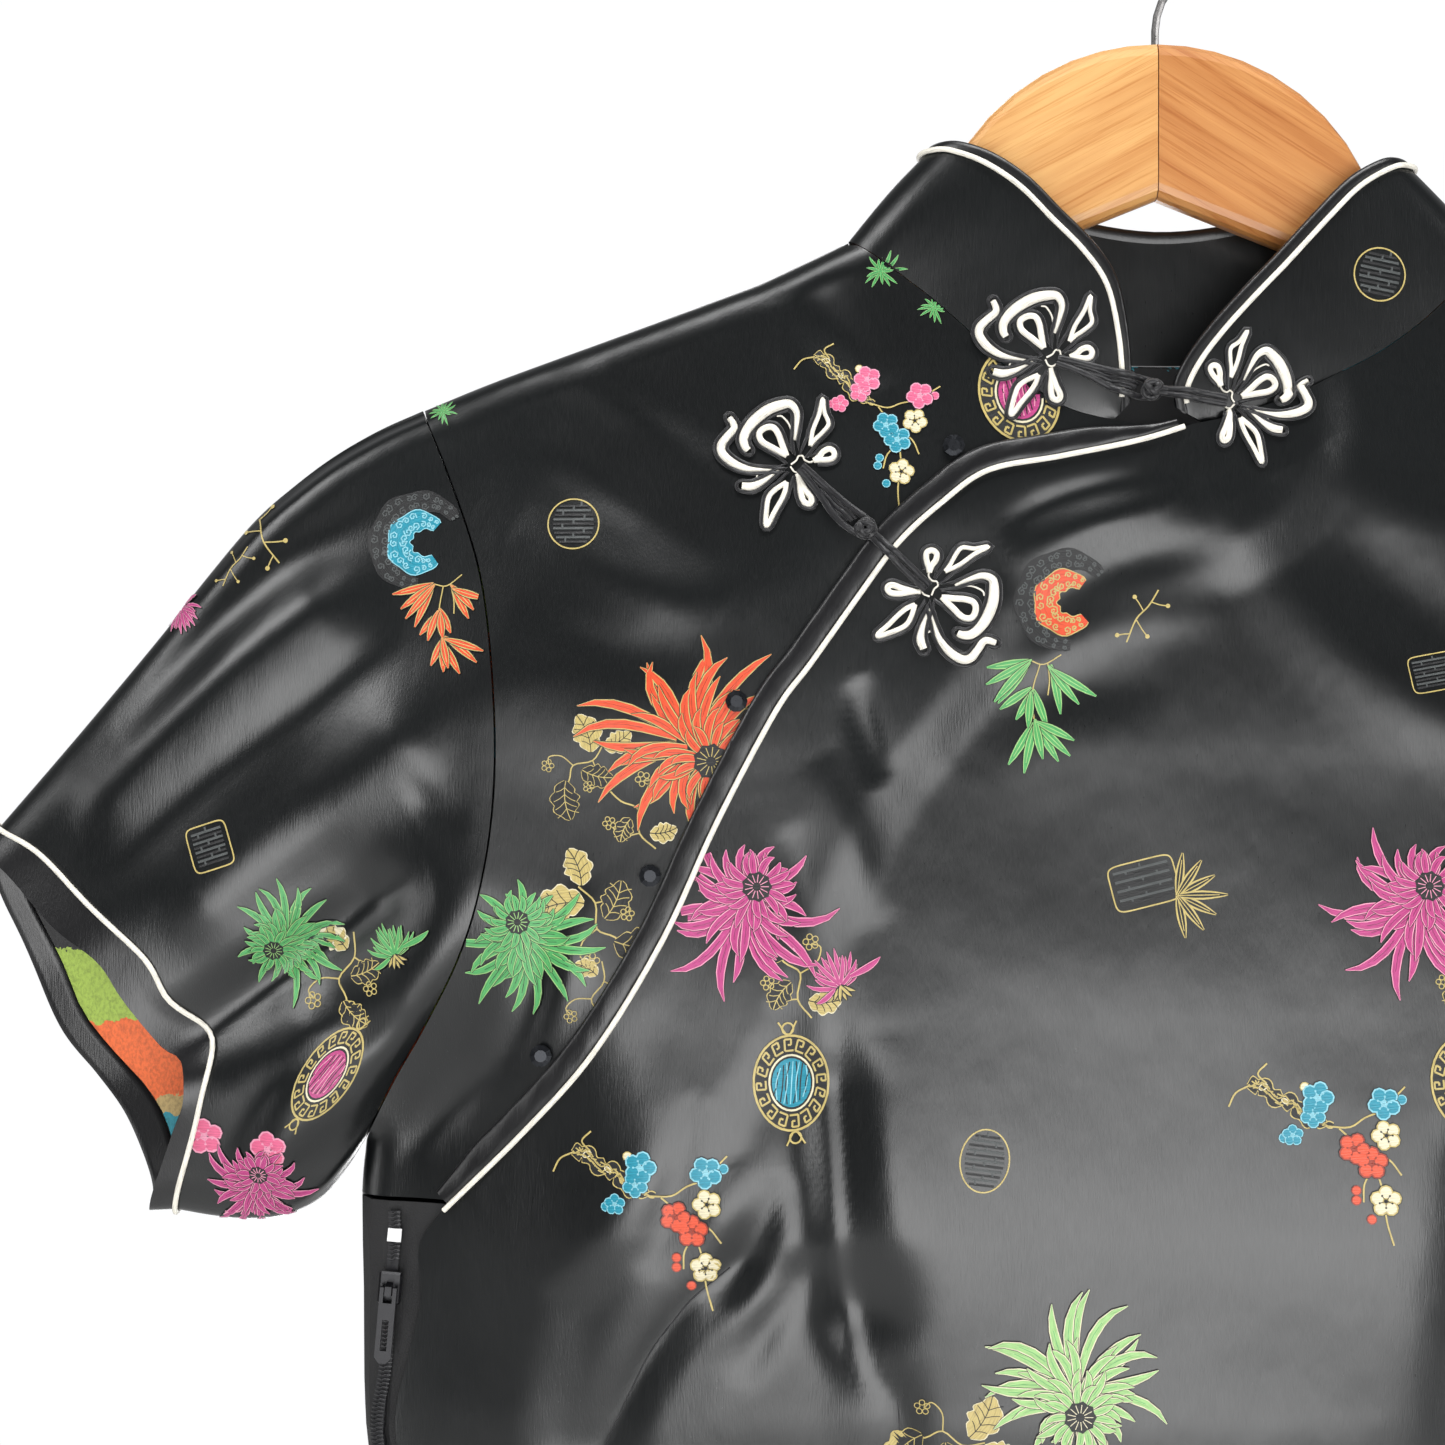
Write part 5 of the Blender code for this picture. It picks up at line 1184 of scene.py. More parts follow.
def blossom(figure, centre, radius, tone, turn=0.0, level=0.05):
    """Plum blossom: five round petals with an edge of a second tone, and a few stamens."""
    edge = EDGE_OF[tone]
    for k in range(5):
        angle = turn + 2.0 * math.pi * k / 5.0
        place = (centre[0] + radius * 0.56 * math.cos(angle), centre[1] + radius * 0.56 * math.sin(angle))
        figure.lift(level + 0.004 * k)
        for share, colour in ((0.52, "black"), (0.47, edge), (0.37, tone)):
            figure.disc(place, radius * share, colour, sides=9)
    stamen = "black" if tone == "cream" else edge
    figure.lift(level + 0.06, 0.0)
    for k in range(5):
        angle = turn + 2.0 * math.pi * (k + 0.5) / 5.0
        tip = (centre[0] + radius * 0.42 * math.cos(angle), centre[1] + radius * 0.42 * math.sin(angle))
        figure.line((centre, ((centre[0] + tip[0]) / 2.0, (centre[1] + tip[1]) / 2.0), tip), 0.1, stamen, 1)
        figure.disc(tip, radius * 0.075, stamen, sides=5)
    figure.disc(centre, radius * 0.14, stamen, sides=7)


# Twigs of the plum branch; blossoms of its three tones, columns x, y, radius; buds, columns x, y, tone
PLUM_TWIGS = (((-15.0, 13.0), (-17.0, 16.0), (-14.0, 18.5)), ((-20.0, 13.0), (-24.0, 11.5), (-26.5, 8.0)),
              ((0.0, -1.0), (6.0, -2.0), (10.5, 0.0), (14.5, 1.0)),
              ((3.0, -2.0), (8.0, -8.0), (11.0, -14.0), (12.5, -22.0)),
              ((9.0, -9.0), (15.0, -12.0), (18.0, -17.0)), ((11.0, -14.0), (7.5, -18.0), (6.5, -23.0)),
              ((14.5, 1.0), (19.0, 4.0), (23.0, 7.0)), ((12.3, -21.0), (12.0, -29.0), (13.0, -36.0)))
PLUM_BLOSSOMS = (((-1.5, 7.2, 4.6), (-3.6, 2.6, 3.6), (16.5, 3.2, 4.6), (-10.0, -2.2, 3.0)),
                 ((6.2, -8.0, 4.4), (10.4, -12.6, 4.6)), ((15.6, -5.6, 4.2), (12.6, -23.5, 4.4)))
PLUM_BUDS = ((21.5, 3.6, 0), (-12.6, -2.6, 0), (5.0, -19.5, 1), (4.6, -22.2, 1), (8.0, -28.0, 1), (-4.6, 10.6, 2))


def plum(tones, seed):
    """Gnarled branch at the upper left, thin twigs down to the right, blossoms and buds along them."""
    dice = random.Random(seed)
    figure = Figure()
    bark = Path(((-20.5, 13.0), (-16.5, 12.5), (-13.0, 8.5), (-8.5, 6.5), (-6.0, 2.5), (-2.0, 0.5),
                 (1.5, -1.0)), 8).points
    half = np.array([1.2 + 1.4 * abs(math.sin(k * 0.5)) for k in range(len(bark))])
    half[:5] *= np.linspace(0.35, 1.0, 5)
    half[-14:] *= np.linspace(1.0, 0.22, 14)
    figure.ribbon(bark, half + 0.3, "gold", 3)
    figure.ribbon(bark, half - 0.05, "black", 3)
    figure.lift(0.024, 0.0)
    for k in range(1, len(bark) - 6, 2):
        for side in (-1.0, 1.0):
            shift = side * half[k] * dice.uniform(0.2, 0.7)
            bend = np.array([dice.uniform(-0.5, 0.5), dice.uniform(-0.5, 0.5)])
            middle = bark[k + 2] + [0.0, shift * 0.5] + bend
            figure.line((bark[k] + [0.0, shift], middle, bark[k + 4] + [0.0, shift]), 0.19, "gold", 2)
    for knot in (9, 20, 31):
        figure.ring(bark[knot], half[knot] * 0.5, 0.17, "cream", 0.6, dice.uniform(0.0, 3.0), 10)
    for branch in PLUM_TWIGS:
        figure.line(branch, 0.24, "gold")
    for tone, places in zip(tones, PLUM_BLOSSOMS):
        for x, y, radius in places:
            blossom(figure, (x, y), radius, tone, dice.uniform(0.0, 1.2))
    for x, y, tone in PLUM_BUDS:
        figure.lift(0.05)
        figure.disc((x, y), 1.45, EDGE_OF[tones[tone]], sides=10)
        figure.disc((x, y), 1.15, tones[tone], sides=10)
    return figure


def bamboo(tone, edge, seed, length=12.5):
    """Sprays of narrow pointed leaves that hang one below another from thin stems."""
    dice = random.Random(seed)
    figure = Figure()
    for stem in (((5.0, 3.5), (0.5, 1.0), (-3.0, 2.0)), ((1.5, 1.2), (2.0, -3.0), (1.6, -7.0)),
                 ((-0.5, 1.0), (-2.4, -6.0), (-2.0, -14.0))):
        figure.line(stem, 0.16, "gold")
    for x, y, low, high, count, reach in ((-3.0, 2.0, -3.05, -2.0, 4, 1.1), (2.0, 0.5, -1.45, -0.35, 3, 1.0),
                                          (-2.4, -5.5, -2.75, -1.0, 4, 0.8), (-2.0, -13.5, -2.3, -0.3, 6, 1.0)):
        for k in range(count):
            heading = lerp(low, high, (k + 0.5) / count) + dice.uniform(-0.06, 0.06)
            length_here = length * reach * dice.uniform(0.8, 1.12)
            share = np.linspace(0.0, 1.0, 6)
            bend = heading + dice.uniform(-0.18, 0.18) * share
            steps = heading_of(bend) * length_here / 5.0
            start = np.array([x + dice.uniform(-0.5, 0.5), y + dice.uniform(-0.7, 0.7)])
            spine = np.vstack([[start], start + np.cumsum(steps, axis=0)[:-1]])
            half = 1.05 * np.sin(math.pi * (0.06 + 0.9 * share)) ** 0.9
            figure.lift(0.045 * (k % 3))
            figure.ribbon(spine, half + 0.22, "black")
            figure.ribbon(spine, half + 0.04, edge)
            figure.ribbon(spine, half * 0.74, tone)
            figure.ribbon(spine[:-1], 0.11, edge, 2)
    return figure


def leaf(figure, start, heading, length, pale=False, veins=4):
    """Lobed leaf with a gold edge, midrib and side veins; a pale one is gold with dark veins."""
    share = np.linspace(0.0, 1.0, 18)
    bend = heading + 0.35 * share
    spine = start + heading_of(bend) * (share * length)[:, None]
    half = 0.38 * length * np.sin(math.pi * np.minimum(share * 0.97 + 0.02, 1.0)) ** 0.75
    half = half * (0.70 + 0.30 * np.abs(np.sin(3.5 * math.pi * share)))
    vein = "black" if pale else "gold"
    figure.lift(0.02 + 0.04 * pale)
    figure.ribbon(spine, half + 0.30, "cream" if pale else "gold", 3)
    figure.ribbon(spine, half, "gold" if pale else "black", 3)
    figure.step = 0.002
    figure.ribbon(spine, 0.14, vein, 2)
    run, square = unit(np.gradient(spine, axis=0)), left_of(spine)
    for k in range(veins):
        place = 3 + k * 3
        for side in (-1.0, 1.0):
            tip = spine[place] + square[place] * side * half[place] * 0.86 + run[place] * half[place] * 0.55
            middle = (spine[place] + tip) / 2.0 + run[place] * 0.3
            figure.line((spine[place], middle, tip), 0.12, vein, 2)


def vine(seed, count=3, edge="gold", size=9.0):
    """Curling stem with lobed leaves and two small flowers."""
    dice = random.Random(seed)
    figure = Figure()
    figure.lift(0.0, 0.0)
    stem = ((-6.0, 14.0), (-3.0, 8.0), (1.0, 4.0), (-1.0, -3.0), (2.0, -9.0))
    figure.line(stem, 0.24, edge)
    figure.line(((1.0, 4.0), (6.0, 6.0), (8.0, 10.0), (5.5, 11.5)), 0.2, edge)
    figure.line(((-1.0, -3.0), (-6.0, -2.0), (-8.0, 1.5)), 0.2, edge)
    places = ((-2.0, 2.0, 3.6), (2.0, -4.0, -0.5), (-2.5, 9.0, 2.4), (1.0, -9.0, -1.9))
    for number, (x, y, heading) in enumerate(places[:count]):
        leaf(figure, np.array([x, y]), heading, size * dice.uniform(0.9, 1.2), number % 2 == 1)
    for x, y, radius in ((5.5, 12.0, 1.5), (-8.5, 3.0, 1.3)):
        for k in range(5):
            angle = 0.4 + 2.0 * math.pi * k / 5.0
            middle = (x + radius * math.cos(angle), y + radius * math.sin(angle))
            figure.ring(middle, radius * 0.55, 0.14, edge, sides=9)
    return figure


def curl_line(centre, radius, turn, hand):
    """A small spiral of one and a quarter turns."""
    share = np.linspace(0.0, 1.0, 8)
    angle = turn + hand * share * 7.8
    reach = radius * (1.0 - 0.8 * share)
    return np.stack([centre[0] + reach * np.cos(angle), centre[1] + reach * np.sin(angle)], axis=-1)


def cloud(tone, edge, seed):
    """Dark curled crescent round a smaller crescent of one colour, both full of spirals."""
    dice = random.Random(seed)
    figure = Figure()
    steps = 34
    for radius, width, low, high, fill, rim, thread, gap in (
            (11.6, 3.3, 62.0, 292.0, "black", "black", "grey", 2.3),
            (6.2, 3.5, 70.0, 335.0, tone, edge, edge, 2.0)):
        angle = np.radians(np.linspace(low, high, steps))
        arc = np.stack([radius * np.cos(angle) + 1.2, radius * np.sin(angle)], axis=-1)
        half = width * np.sin(np.linspace(0.08, math.pi - 0.08, steps)) ** 0.4
        half = half * (0.92 + 0.12 * np.cos(np.arange(steps) * 0.95))
        figure.lift(0.0 if fill == "black" else 0.04)
        figure.ribbon(arc, half + 0.3, rim, 5)
        figure.ribbon(arc, half, fill, 5)
        figure.lift(0.07 if fill == "black" else 0.13, 0.0)
        left = left_of(arc)
        count = int(radius * math.radians(high - low) / gap)
        for k in range(count):
            place = int((k + 0.5) * (steps - 1) / count)
            for side in (-0.5, 0.45):
                centre = arc[place] + left[place] * side * half[place]
                spiral = curl_line(centre, half[place] * 0.40, dice.uniform(0.0, 6.2), 1.0 if k % 2 else -1.0)
                figure.ribbon(spiral, 0.2, thread, 2)
    return figure


def seal(kind, width, height, edge="gold"):
    """Seal with a thin gold border and a plain fret inside; kind is box or oval."""
    figure = Figure()
    angle = np.linspace(0.0, 2.0 * math.pi, 49)
    power = 0.28 if kind == "box" else 1.0
    x = np.sign(np.cos(angle)) * np.abs(np.cos(angle)) ** power * width / 2.0
    y = np.sign(np.sin(angle)) * np.abs(np.sin(angle)) ** power * height / 2.0
    figure.ribbon(np.stack([x, y], axis=-1), 0.2, edge, 2)
    figure.step = 0.0
    rows = max(int(height / 1.5), 4)
    for k in range(rows):
        level = (-0.5 + (k + 0.5) / rows) * (height - 2.6)
        share = abs(level) / (height / 2.0)
        reach = (width / 2.0 - 1.4) * (1.0 if kind == "box" else math.sqrt(max(1.0 - share ** 2, 0.0)))
        if reach < 0.8:
            continue
        figure.line(((-reach, level), (0.0, level), (reach, level)), 0.34, "grey" if k % 2 else "black", 1)
        step = (k % 3 - 1) * reach * 0.55
        figure.line(((step, level), (step, level + 0.6), (step, level + 1.3)), 0.28, "grey", 1)
    return figure


def medallion(tone, shade):
    """Oval medallion: gold fret round a coloured hatched centre."""
    figure = Figure()
    figure.disc((0.0, 0.0), 10.6, "black", 1.25, sides=32)
    figure.lift(0.08, 0.0)
    figure.ring((0.0, 0.0), 10.6, 0.32, "gold", 1.25, sides=36)
    figure.ring((0.0, 0.0), 6.2, 0.28, "cream", 1.25, sides=30)
    figure.step = 0.0
    for k in range(16):
        angle = 2.0 * math.pi * k / 16.0
        out = np.array([math.cos(angle), math.sin(angle) * 1.25])
        along = unit(np.array([-math.sin(angle), math.cos(angle) * 1.25]))
        low, high = out * 7.2, out * 9.8
        corners = (low - along * 1.2, low + along * 1.2, high + along * 1.2, high - along * 0.7,
                   (low + high) / 2.0 - along * 0.6, (low + high) / 2.0 + along * 0.3)
        for start, end in zip(corners, corners[1:]):
            figure.line((start, (start + end) / 2.0, end), 0.27, "gold", 1)
    figure.lift(0.06, 0.06)
    figure.disc((0.0, 0.0), 5.5, tone, 1.25, sides=24)
    figure.step = 0.001
    for k in range(-5, 6):
        reach = math.sqrt(max(1.0 - (k / 6.0) ** 2, 0.05)) * 5.4
        bend = 0.8 * math.sin(k * 2.0)
        figure.line(((k * 0.9 - 0.8, -reach * 1.1), (k * 0.9 + bend, 0.0), (k * 0.9 + 0.8, reach * 1.1)), 0.16,
                    "black" if k % 2 else shade, 3)
    for side in (-1.0, 1.0):
        figure.ring((0.0, side * 15.2), 1.6, 0.26, "gold", 1.0, sides=12)
        figure.line(((-2.6, side * 17.2), (0.0, side * 13.4), (2.6, side * 17.2)), 0.24, "gold")
    return figure


def twig(tone="gold"):
    """Bare branching twig with buds."""
    figure = Figure()
    figure.line(((-6.0, -8.0), (-1.0, -2.5), (4.0, 0.0), (8.5, 3.5)), 0.22, tone)
    for x, y, dx, dy in ((-1.0, -2.5, 1.5, -6.0), (2.0, -1.0, -1.0, 5.0), (5.0, 1.0, 4.5, -3.0),
                         (-4.0, -6.0, -4.0, 1.0)):
        figure.line(((x, y), (x + dx * 0.5, y + dy * 0.6), (x + dx, y + dy)), 0.18, tone)
        figure.disc((x + dx, y + dy), 0.7, tone, sides=8)
    return figure


def spray(tone="gold"):
    """Pointed gold leaves in a fan beside a seal."""
    figure = Figure()
    for k in range(7):
        heading = math.radians(-80.0 + 27.0 * k)
        reach = 11.0 if k != 3 else 13.0
        share = np.linspace(0.0, 1.0, 7)
        spine = share[:, None] * heading_of(heading) * reach
        half = 1.0 * np.sin(math.pi * np.minimum(share * 0.9 + 0.08, 1.0))
        figure.lift(0.03 * (k % 2))
        figure.ribbon(spine, half + 0.18, tone)
        figure.ribbon(spine, half * 0.7, "black")
        figure.ribbon(spine[:-1], 0.12, tone, 2)
    return figure


def sprig_of_leaves(seed, tone="green", edge="lime"):
    """Star of curled leaves."""
    dice = random.Random(seed)
    figure = Figure()
    for k in range(13):
        heading = math.radians(20.0 + 27.7 * k) + dice.uniform(-0.1, 0.1)
        length, curl = dice.uniform(8.0, 15.0), dice.uniform(-0.6, 0.6)
        petal(figure, 0.05 * (k % 3), np.zeros(2), heading, length, 1.0, curl, tone, edge)
    return figure


def make_figures():
    return {
        "mum_magenta": chrysanthemum("magenta", 25.0, 3, -2.2, "rose", "wine"),
        "mum_orange": chrysanthemum("orange", 30.0, 5, 2.4, "gold", "rust"),
        "mum_green": chrysanthemum("green", 21.0, 8, -1.2, "lime", "black"),
        "mum_lime": chrysanthemum("lime", 27.0, 13, 1.75, "cream", "green"),
        "mum_pink": chrysanthemum("magenta", 16.0, 21, -2.6, "rose", "wine"),
        "small_magenta": small_mum("magenta", 10.0, 4, "rose"),
        "small_green": small_mum("green", 10.0, 9, "lime"),
        "leaves_green": sprig_of_leaves(17),
        "plum_teal": plum(("teal", "orange", "cream"), 31), "plum_pink": plum(("pink", "teal", "cream"), 37),
        "bamboo_green": bamboo("green", "lime", 41), "bamboo_orange": bamboo("orange", "gold", 43, 10.5),
        "vine": vine(47), "vine_small": vine(53, 2, "gold", 7.0), "vine_large": vine(59, 4, "gold", 12.0),
        "cloud_orange": cloud("orange", "gold", 61), "cloud_teal": cloud("teal", "sky", 67),
        "seal_box": seal("box", 18.0, 12.5), "seal_square": seal("box", 11.5, 12.5),
        "seal_round": seal("oval", 14.0, 14.0), "seal_oval": seal("oval", 13.5, 17.0),
        "medallion_teal": medallion("teal", "sky"), "medallion_magenta": medallion("magenta", "rose"),
        "twig": twig(), "spray": spray(),
    }


# Where the figures lie, read off the photograph: columns figure, pixel x, pixel y, turn in degrees, size
FRONT_SPOTS = (("cloud_orange", 1066, 600, -20, 1.0), ("bamboo_green", 1043, 668, 0, 1.05), ("twig", 1138, 610, 20, 0.9),
               ("seal_box", 1143, 883, 14, 1.0), ("spray", 1176, 895, 0, 1.05), ("mum_magenta", 1412, 905, 0, 1.0),
               ("vine", 1468, 985, 10, 0.95), ("small_magenta", 1506, 975, 20, 1.0),
               ("medallion_teal", 1460, 1078, 4, 0.95), ("plum_teal", 1320, 1118, 8, 0.95),
               ("seal_oval", 981, 1155, -8, 0.98), ("mum_lime", 1072, 1385, 0, 1.0), ("vine_large", 952, 1432, 70, 0.9))
FLAP_SPOTS = (("seal_round", 572, 522, 0, 1.0), ("mum_orange", 690, 742, 0, 1.0), ("vine_large", 585, 762, 120, 0.75),
              ("vine_small", 640, 822, 20, 0.9), ("vine_large", 597, 912, 200, 0.95), ("mum_green", 527, 938, 0, 0.98),
              ("plum_pink", 872, 396, -6, 0.82), ("medallion_magenta", 1022, 392, 20, 1.0),
              ("leaves_green", 884, 262, 30, 0.4), ("leaves_green", 938, 300, 0, 0.35), ("leaves_green", 436, 404, 0, 0.3),
              ("vine_small", 600, 985, 160, 0.8))
SLEEVE_SPOTS = (("twig", 250, 535, 80, 1.0), ("twig", 224, 560, 20, 0.7), ("small_magenta", 172, 612, 200, 0.75),
                ("cloud_teal", 416, 540, -25, 1.0), ("bamboo_orange", 446, 590, 8, 1.0), ("seal_square", 213, 846, 18, 1.0),
                ("mum_green", 285, 942, 100, 0.8), ("vine", 348, 966, 160, 1.0), ("small_green", 396, 945, 20, 0.9),
                ("medallion_magenta", 330, 1072, -34, (0.62, 1.1)), ("mum_pink", 252, 1190, 40, 1.0),
                ("leaves_green", 436, 420, 0, 0.3))
SLEEVE_BLOSSOMS = ((205.0, 1136.0), (271.0, 1147.0))
REPEAT = (181.0, 250.0)
LAST_ROW = 3
PLUM_DROP = 18.0            # the plum branch beside the zip hangs lower than its repeat
BACK_SHIFT = (62.0, 60.0)   # the back's pattern against the front's
KIND_HEIGHTS = {"mum": 0.16, "small": 0.12, "medallion": 0.12, "plum": 0.08, "bamboo": 0.08}
# Place of the photograph's camera in millimetres, its focal length and middle in pixels
VIEW_X, VIEW_Y, VIEW_Z, VIEW_FOCAL, VIEW_MIDDLE = -121.8, -670.0, -251.9, 2379.0, 722.5


def spot(px, py, depth):
    """Place in the garment's plane seen at a pixel of the photograph, on cloth at that y."""
    scale = (depth - VIEW_Y) / VIEW_FOCAL
    return VIEW_X + (px - VIEW_MIDDLE) * scale, VIEW_Z - (py - VIEW_MIDDLE) * scale


def tree_of(*objects):
    """One search tree over the meshes of some pieces, in millimetres."""
    points, faces, count = [], [], 0
    for obj in objects:
        mesh = obj.data
        own = np.zeros(len(mesh.vertices) * 3, np.float32)
        mesh.vertices.foreach_get("co", own)
        points.append(own.reshape(-1, 3) / MM)
        faces += [tuple(k + count for k in face.vertices) for face in mesh.polygons]
        count += len(mesh.vertices)
    return BVHTree.FromPolygons(np.vstack(points).tolist(), faces)


def seen_from(tree, x, z, facing):
    """Point and normal of the cloth that a ray from the front (facing -1) or the back meets at x, z."""
    return tree.ray_cast(Vector((x, facing * RAY_START, z)), Vector((0.0, -facing, 0.0)))[:2]


def lay(batch, tree, figure, x, z, turn, size, facing, base=0.0, flip=1.0):
    """Lay a figure on a piece of cloth; what would run past its edge is left out."""
    points = np.vstack(figure.points) * size
    size = float(np.max(size))
    angle = math.radians(turn)
    u = (points[:, 0] * math.cos(angle) - points[:, 1] * math.sin(angle)) * flip
    v = points[:, 0] * math.sin(angle) + points[:, 1] * math.cos(angle)
    rise = np.concatenate(figure.rise)
    placed = np.zeros((len(points), 3))
    hit = np.zeros(len(points), bool)
    for k, (du, dv) in enumerate(zip(u.tolist(), v.tolist())):
        place, normal = seen_from(tree, x + du, z + dv, facing)
        if place is not None and normal.y * facing > STEEPEST:
            placed[k] = place + normal * (THREAD_LIFT + base + rise[k])
            hit[k] = True
    quads = np.vstack(figure.quads)
    kept = hit[quads].all(axis=1)
    if not kept.any():
        return
    quads = quads[kept]
    tones = np.concatenate(figure.tones)[kept]
    used, compact = np.unique(quads, return_inverse=True)
    quads = compact.reshape(quads.shape)
    if flip * facing < 0.0:
        quads = quads[:, ::-1]
    batch.add_many(placed[used], quads, np.vstack(figure.uvs)[used] * size, tones)


def raised(name):
    """Height of a kind of figure above the lowest, so that two that meet don't mix."""
    return KIND_HEIGHTS.get(name.split("_")[0], 0.0)


def repeats(reach):
    """Places of the front's figures in columns from -reach to reach and in all rows."""
    for column in range(-reach, reach + 1):
        for row in range(-1, LAST_ROW + 1):
            for name, px, py, turn, size in FRONT_SPOTS:
                x, z = spot(px, py, -27.0)
                yield column, row, name, x + column * REPEAT[0], z - row * REPEAT[1], turn, size


def put_figures(figures):
    paints = [thread_material(f"silk_{name}", code, 0.5 if name in ("black", "grey") else 0.4)
              for name, code in THREADS.items()]
    trees = {"front": tree_of(FRONT), "flap": tree_of(FLAP), "back": tree_of(BACK), "left": tree_of(LEFT),
             "right": tree_of(RIGHT)}

    front, skirt = Batch(paints), Batch(paints)
    for column, row, name, x, z, turn, size in repeats(1):
        x += REPEAT[0] * 0.5 if row in (1, 3) else 0.0
        beside_zip = column < 0 and row == 0
        if beside_zip and name == "plum_teal":
            z -= PLUM_DROP
        hidden = beside_zip and name in ("mum_lime", "vine_large")
        if not ((row == -1 and x < NECK_POINT_RIGHT_X + 2.0) or abs(x) > 250.0 or hidden):
            lay(skirt if row > 0 else front, trees["front"], figures[name], x, z, turn, size, -1.0, raised(name))
        if (column, row, name) == (0, LAST_ROW, FRONT_SPOTS[-1][0]):
            lay(front, trees["front"], figures["seal_box"], *spot(1437, 672, -26.0), 10.0, 0.8, -1.0)
    dress(front.build("front_figures", 0.0), "brocade")
    dress(skirt.build("front_skirt_figures", 0.0), "brocade")

    flap = Batch(paints)
    for name, px, py, turn, size in FLAP_SPOTS:
        x, z = spot(px, py, -22.0)
        lay(flap, trees["flap"], figures[name], x, z, turn, size, -1.0, raised(name))
    dress(flap.build("flap_figures", 0.0), "brocade")

    back, skirt = Batch(paints), Batch(paints)
    for _, row, name, x, z, turn, size in repeats(2):
        x += BACK_SHIFT[0] + (REPEAT[0] * 0.5 if row % 2 else 0.0)
        z += BACK_SHIFT[1]
        if abs(x) <= 245.0 and z <= -100.0:
            lay(skirt if row > 0 else back, trees["back"], figures[name], x, z, turn, size, 1.0, raised(name))
    dress(back.build("back_figures", 0.0), "brocade")
    dress(skirt.build("back_skirt_figures", 0.0), "brocade")

    extra = Figure()
    blossom(extra, (0.0, 0.0), 5.2, "pink", 0.4)
    for side, key in ((-1.0, "left"), (1.0, "right")):
        for facing in (-1.0, 1.0):
            sleeve = Batch(paints)
            for name, px, py, turn, size in SLEEVE_SPOTS:
                x, z = spot(px, py, -16.0)
                x = x if side < 0.0 else -x + 4.0
                lay(sleeve, trees[key], figures[name], x, z, -side * turn, size, facing, raised(name))
            for px, py in SLEEVE_BLOSSOMS:
                x, z = spot(px, py, -12.0)
                lay(sleeve, trees[key], extra, x if side < 0.0 else -x, z, 0.0, 1.0, facing)
            where = "front" if facing < 0.0 else "back"
            dress(sleeve.build(f"sleeve_{key}_{where}_figures", 0.0), "brocade")

    collar = Batch(paints)
    tree = tree_of(COLLAR_PIECES[0])
    for name, px, py, turn, size in (("seal_round", 1383, 272, -10, 1.05), ("leaves_green", 884, 268, 20, 0.5)):
        x, z = spot(px, py, -16.0)
        lay(collar, tree, figures[name], x, z, turn, size, -1.0)
    for px, py in ((1040, 300), (1300, 330)):
        x, z = spot(px, py, 14.0)
        lay(collar, tree, figures["seal_oval"], x, z, 0.0, 0.9, 1.0)
    dress(collar.build("collar_figures", 0.0), "brocade")


# Frogs of one hand, in millimetres from the hub. Closed petals: radius of the cord, then its line
FROG_PETALS = (
    (0.82, ((2.8, 3.7), (4.0, 4.8), (5.8, 6.1), (6.7, 7.6), (5.9, 8.9), (4.4, 8.9), (3.5, 7.4), (3.4, 5.6))),
    (0.62, ((-0.4, 6.6), (-0.3, 8.9), (0.2, 11.8), (0.1, 14.6), (-2.7, 16.5), (-5.3, 19.3), (-3.6, 15.2),
            (-2.3, 10.4))),
    None,
    (0.88, ((-4.0, 0.5), (-6.8, 2.3), (-9.4, 4.1), (-11.7, 4.8), (-13.4, 3.5), (-13.8, 1.2), (-11.8, -0.2),
            (-8.1, 0.1))),
    None,
    None,
    (0.70, ((0.3, -5.6), (-1.0, -9.1), (-1.2, -11.8), (0.2, -14.8), (2.5, -18.4), (3.1, -18.0), (2.5, -14.5),
            (2.1, -10.9), (1.5, -8.0))),
    (0.86, ((1.3, -2.0), (3.4, -3.7), (5.4, -5.9), (7.5, -7.3), (9.0, -6.7), (8.4, -5.3), (5.6, -4.3),
            (2.9, -3.0))),
)
# Open strokes in the same turn round the hub: columns x, y, half width
FROG_STROKES = {
    2: ((-4.8, 5.4, 0.35), (-6.9, 9.2, 0.65), (-8.9, 12.0, 0.88), (-11.5, 12.9, 1.12), (-13.4, 11.5, 1.32),
        (-15.7, 8.1, 1.47), (-17.0, 3.8, 1.47), (-17.2, 0.2, 1.32), (-16.5, -2.5, 1.24), (-14.9, -4.0, 1.1),
        (-13.5, -4.4, 0.9)),
    4: ((-3.4, -3.9, 0.24), (-6.7, -6.3, 0.41), (-10.7, -8.8, 0.82), (-15.0, -9.8, 1.12), (-18.8, -9.3, 1.18),
        (-20.4, -7.5, 1.18), (-20.5, -4.7, 1.06), (-20.3, -2.0, 1.0), (-21.1, -0.8, 0.94), (-23.1, 0.0, 0.8)),
    5: ((-3.5, -4.2, 0.24), (-4.2, -6.7, 0.47), (-5.3, -9.7, 0.82), (-6.8, -12.2, 1.12), (-9.0, -13.6, 1.0)),
}
FROG_THREADS = (((-5.0, 5.4), (-8.5, 8.0), (-11.5, 8.8), (-12.8, 8.1)),
                ((-7.8, -7.8), (-7.3, -8.9), (-6.7, -10.3)),
                ((-1.6, -0.8), (-1.1, 1.0), (-1.3, 2.3), (-0.4, 3.0), (0.8, 2.4), (2.3, 2.8), (3.1, 4.2)),
                ((-1.4, -1.4), (0.3, -1.9), (1.3, -1.3), (1.6, -0.3)))
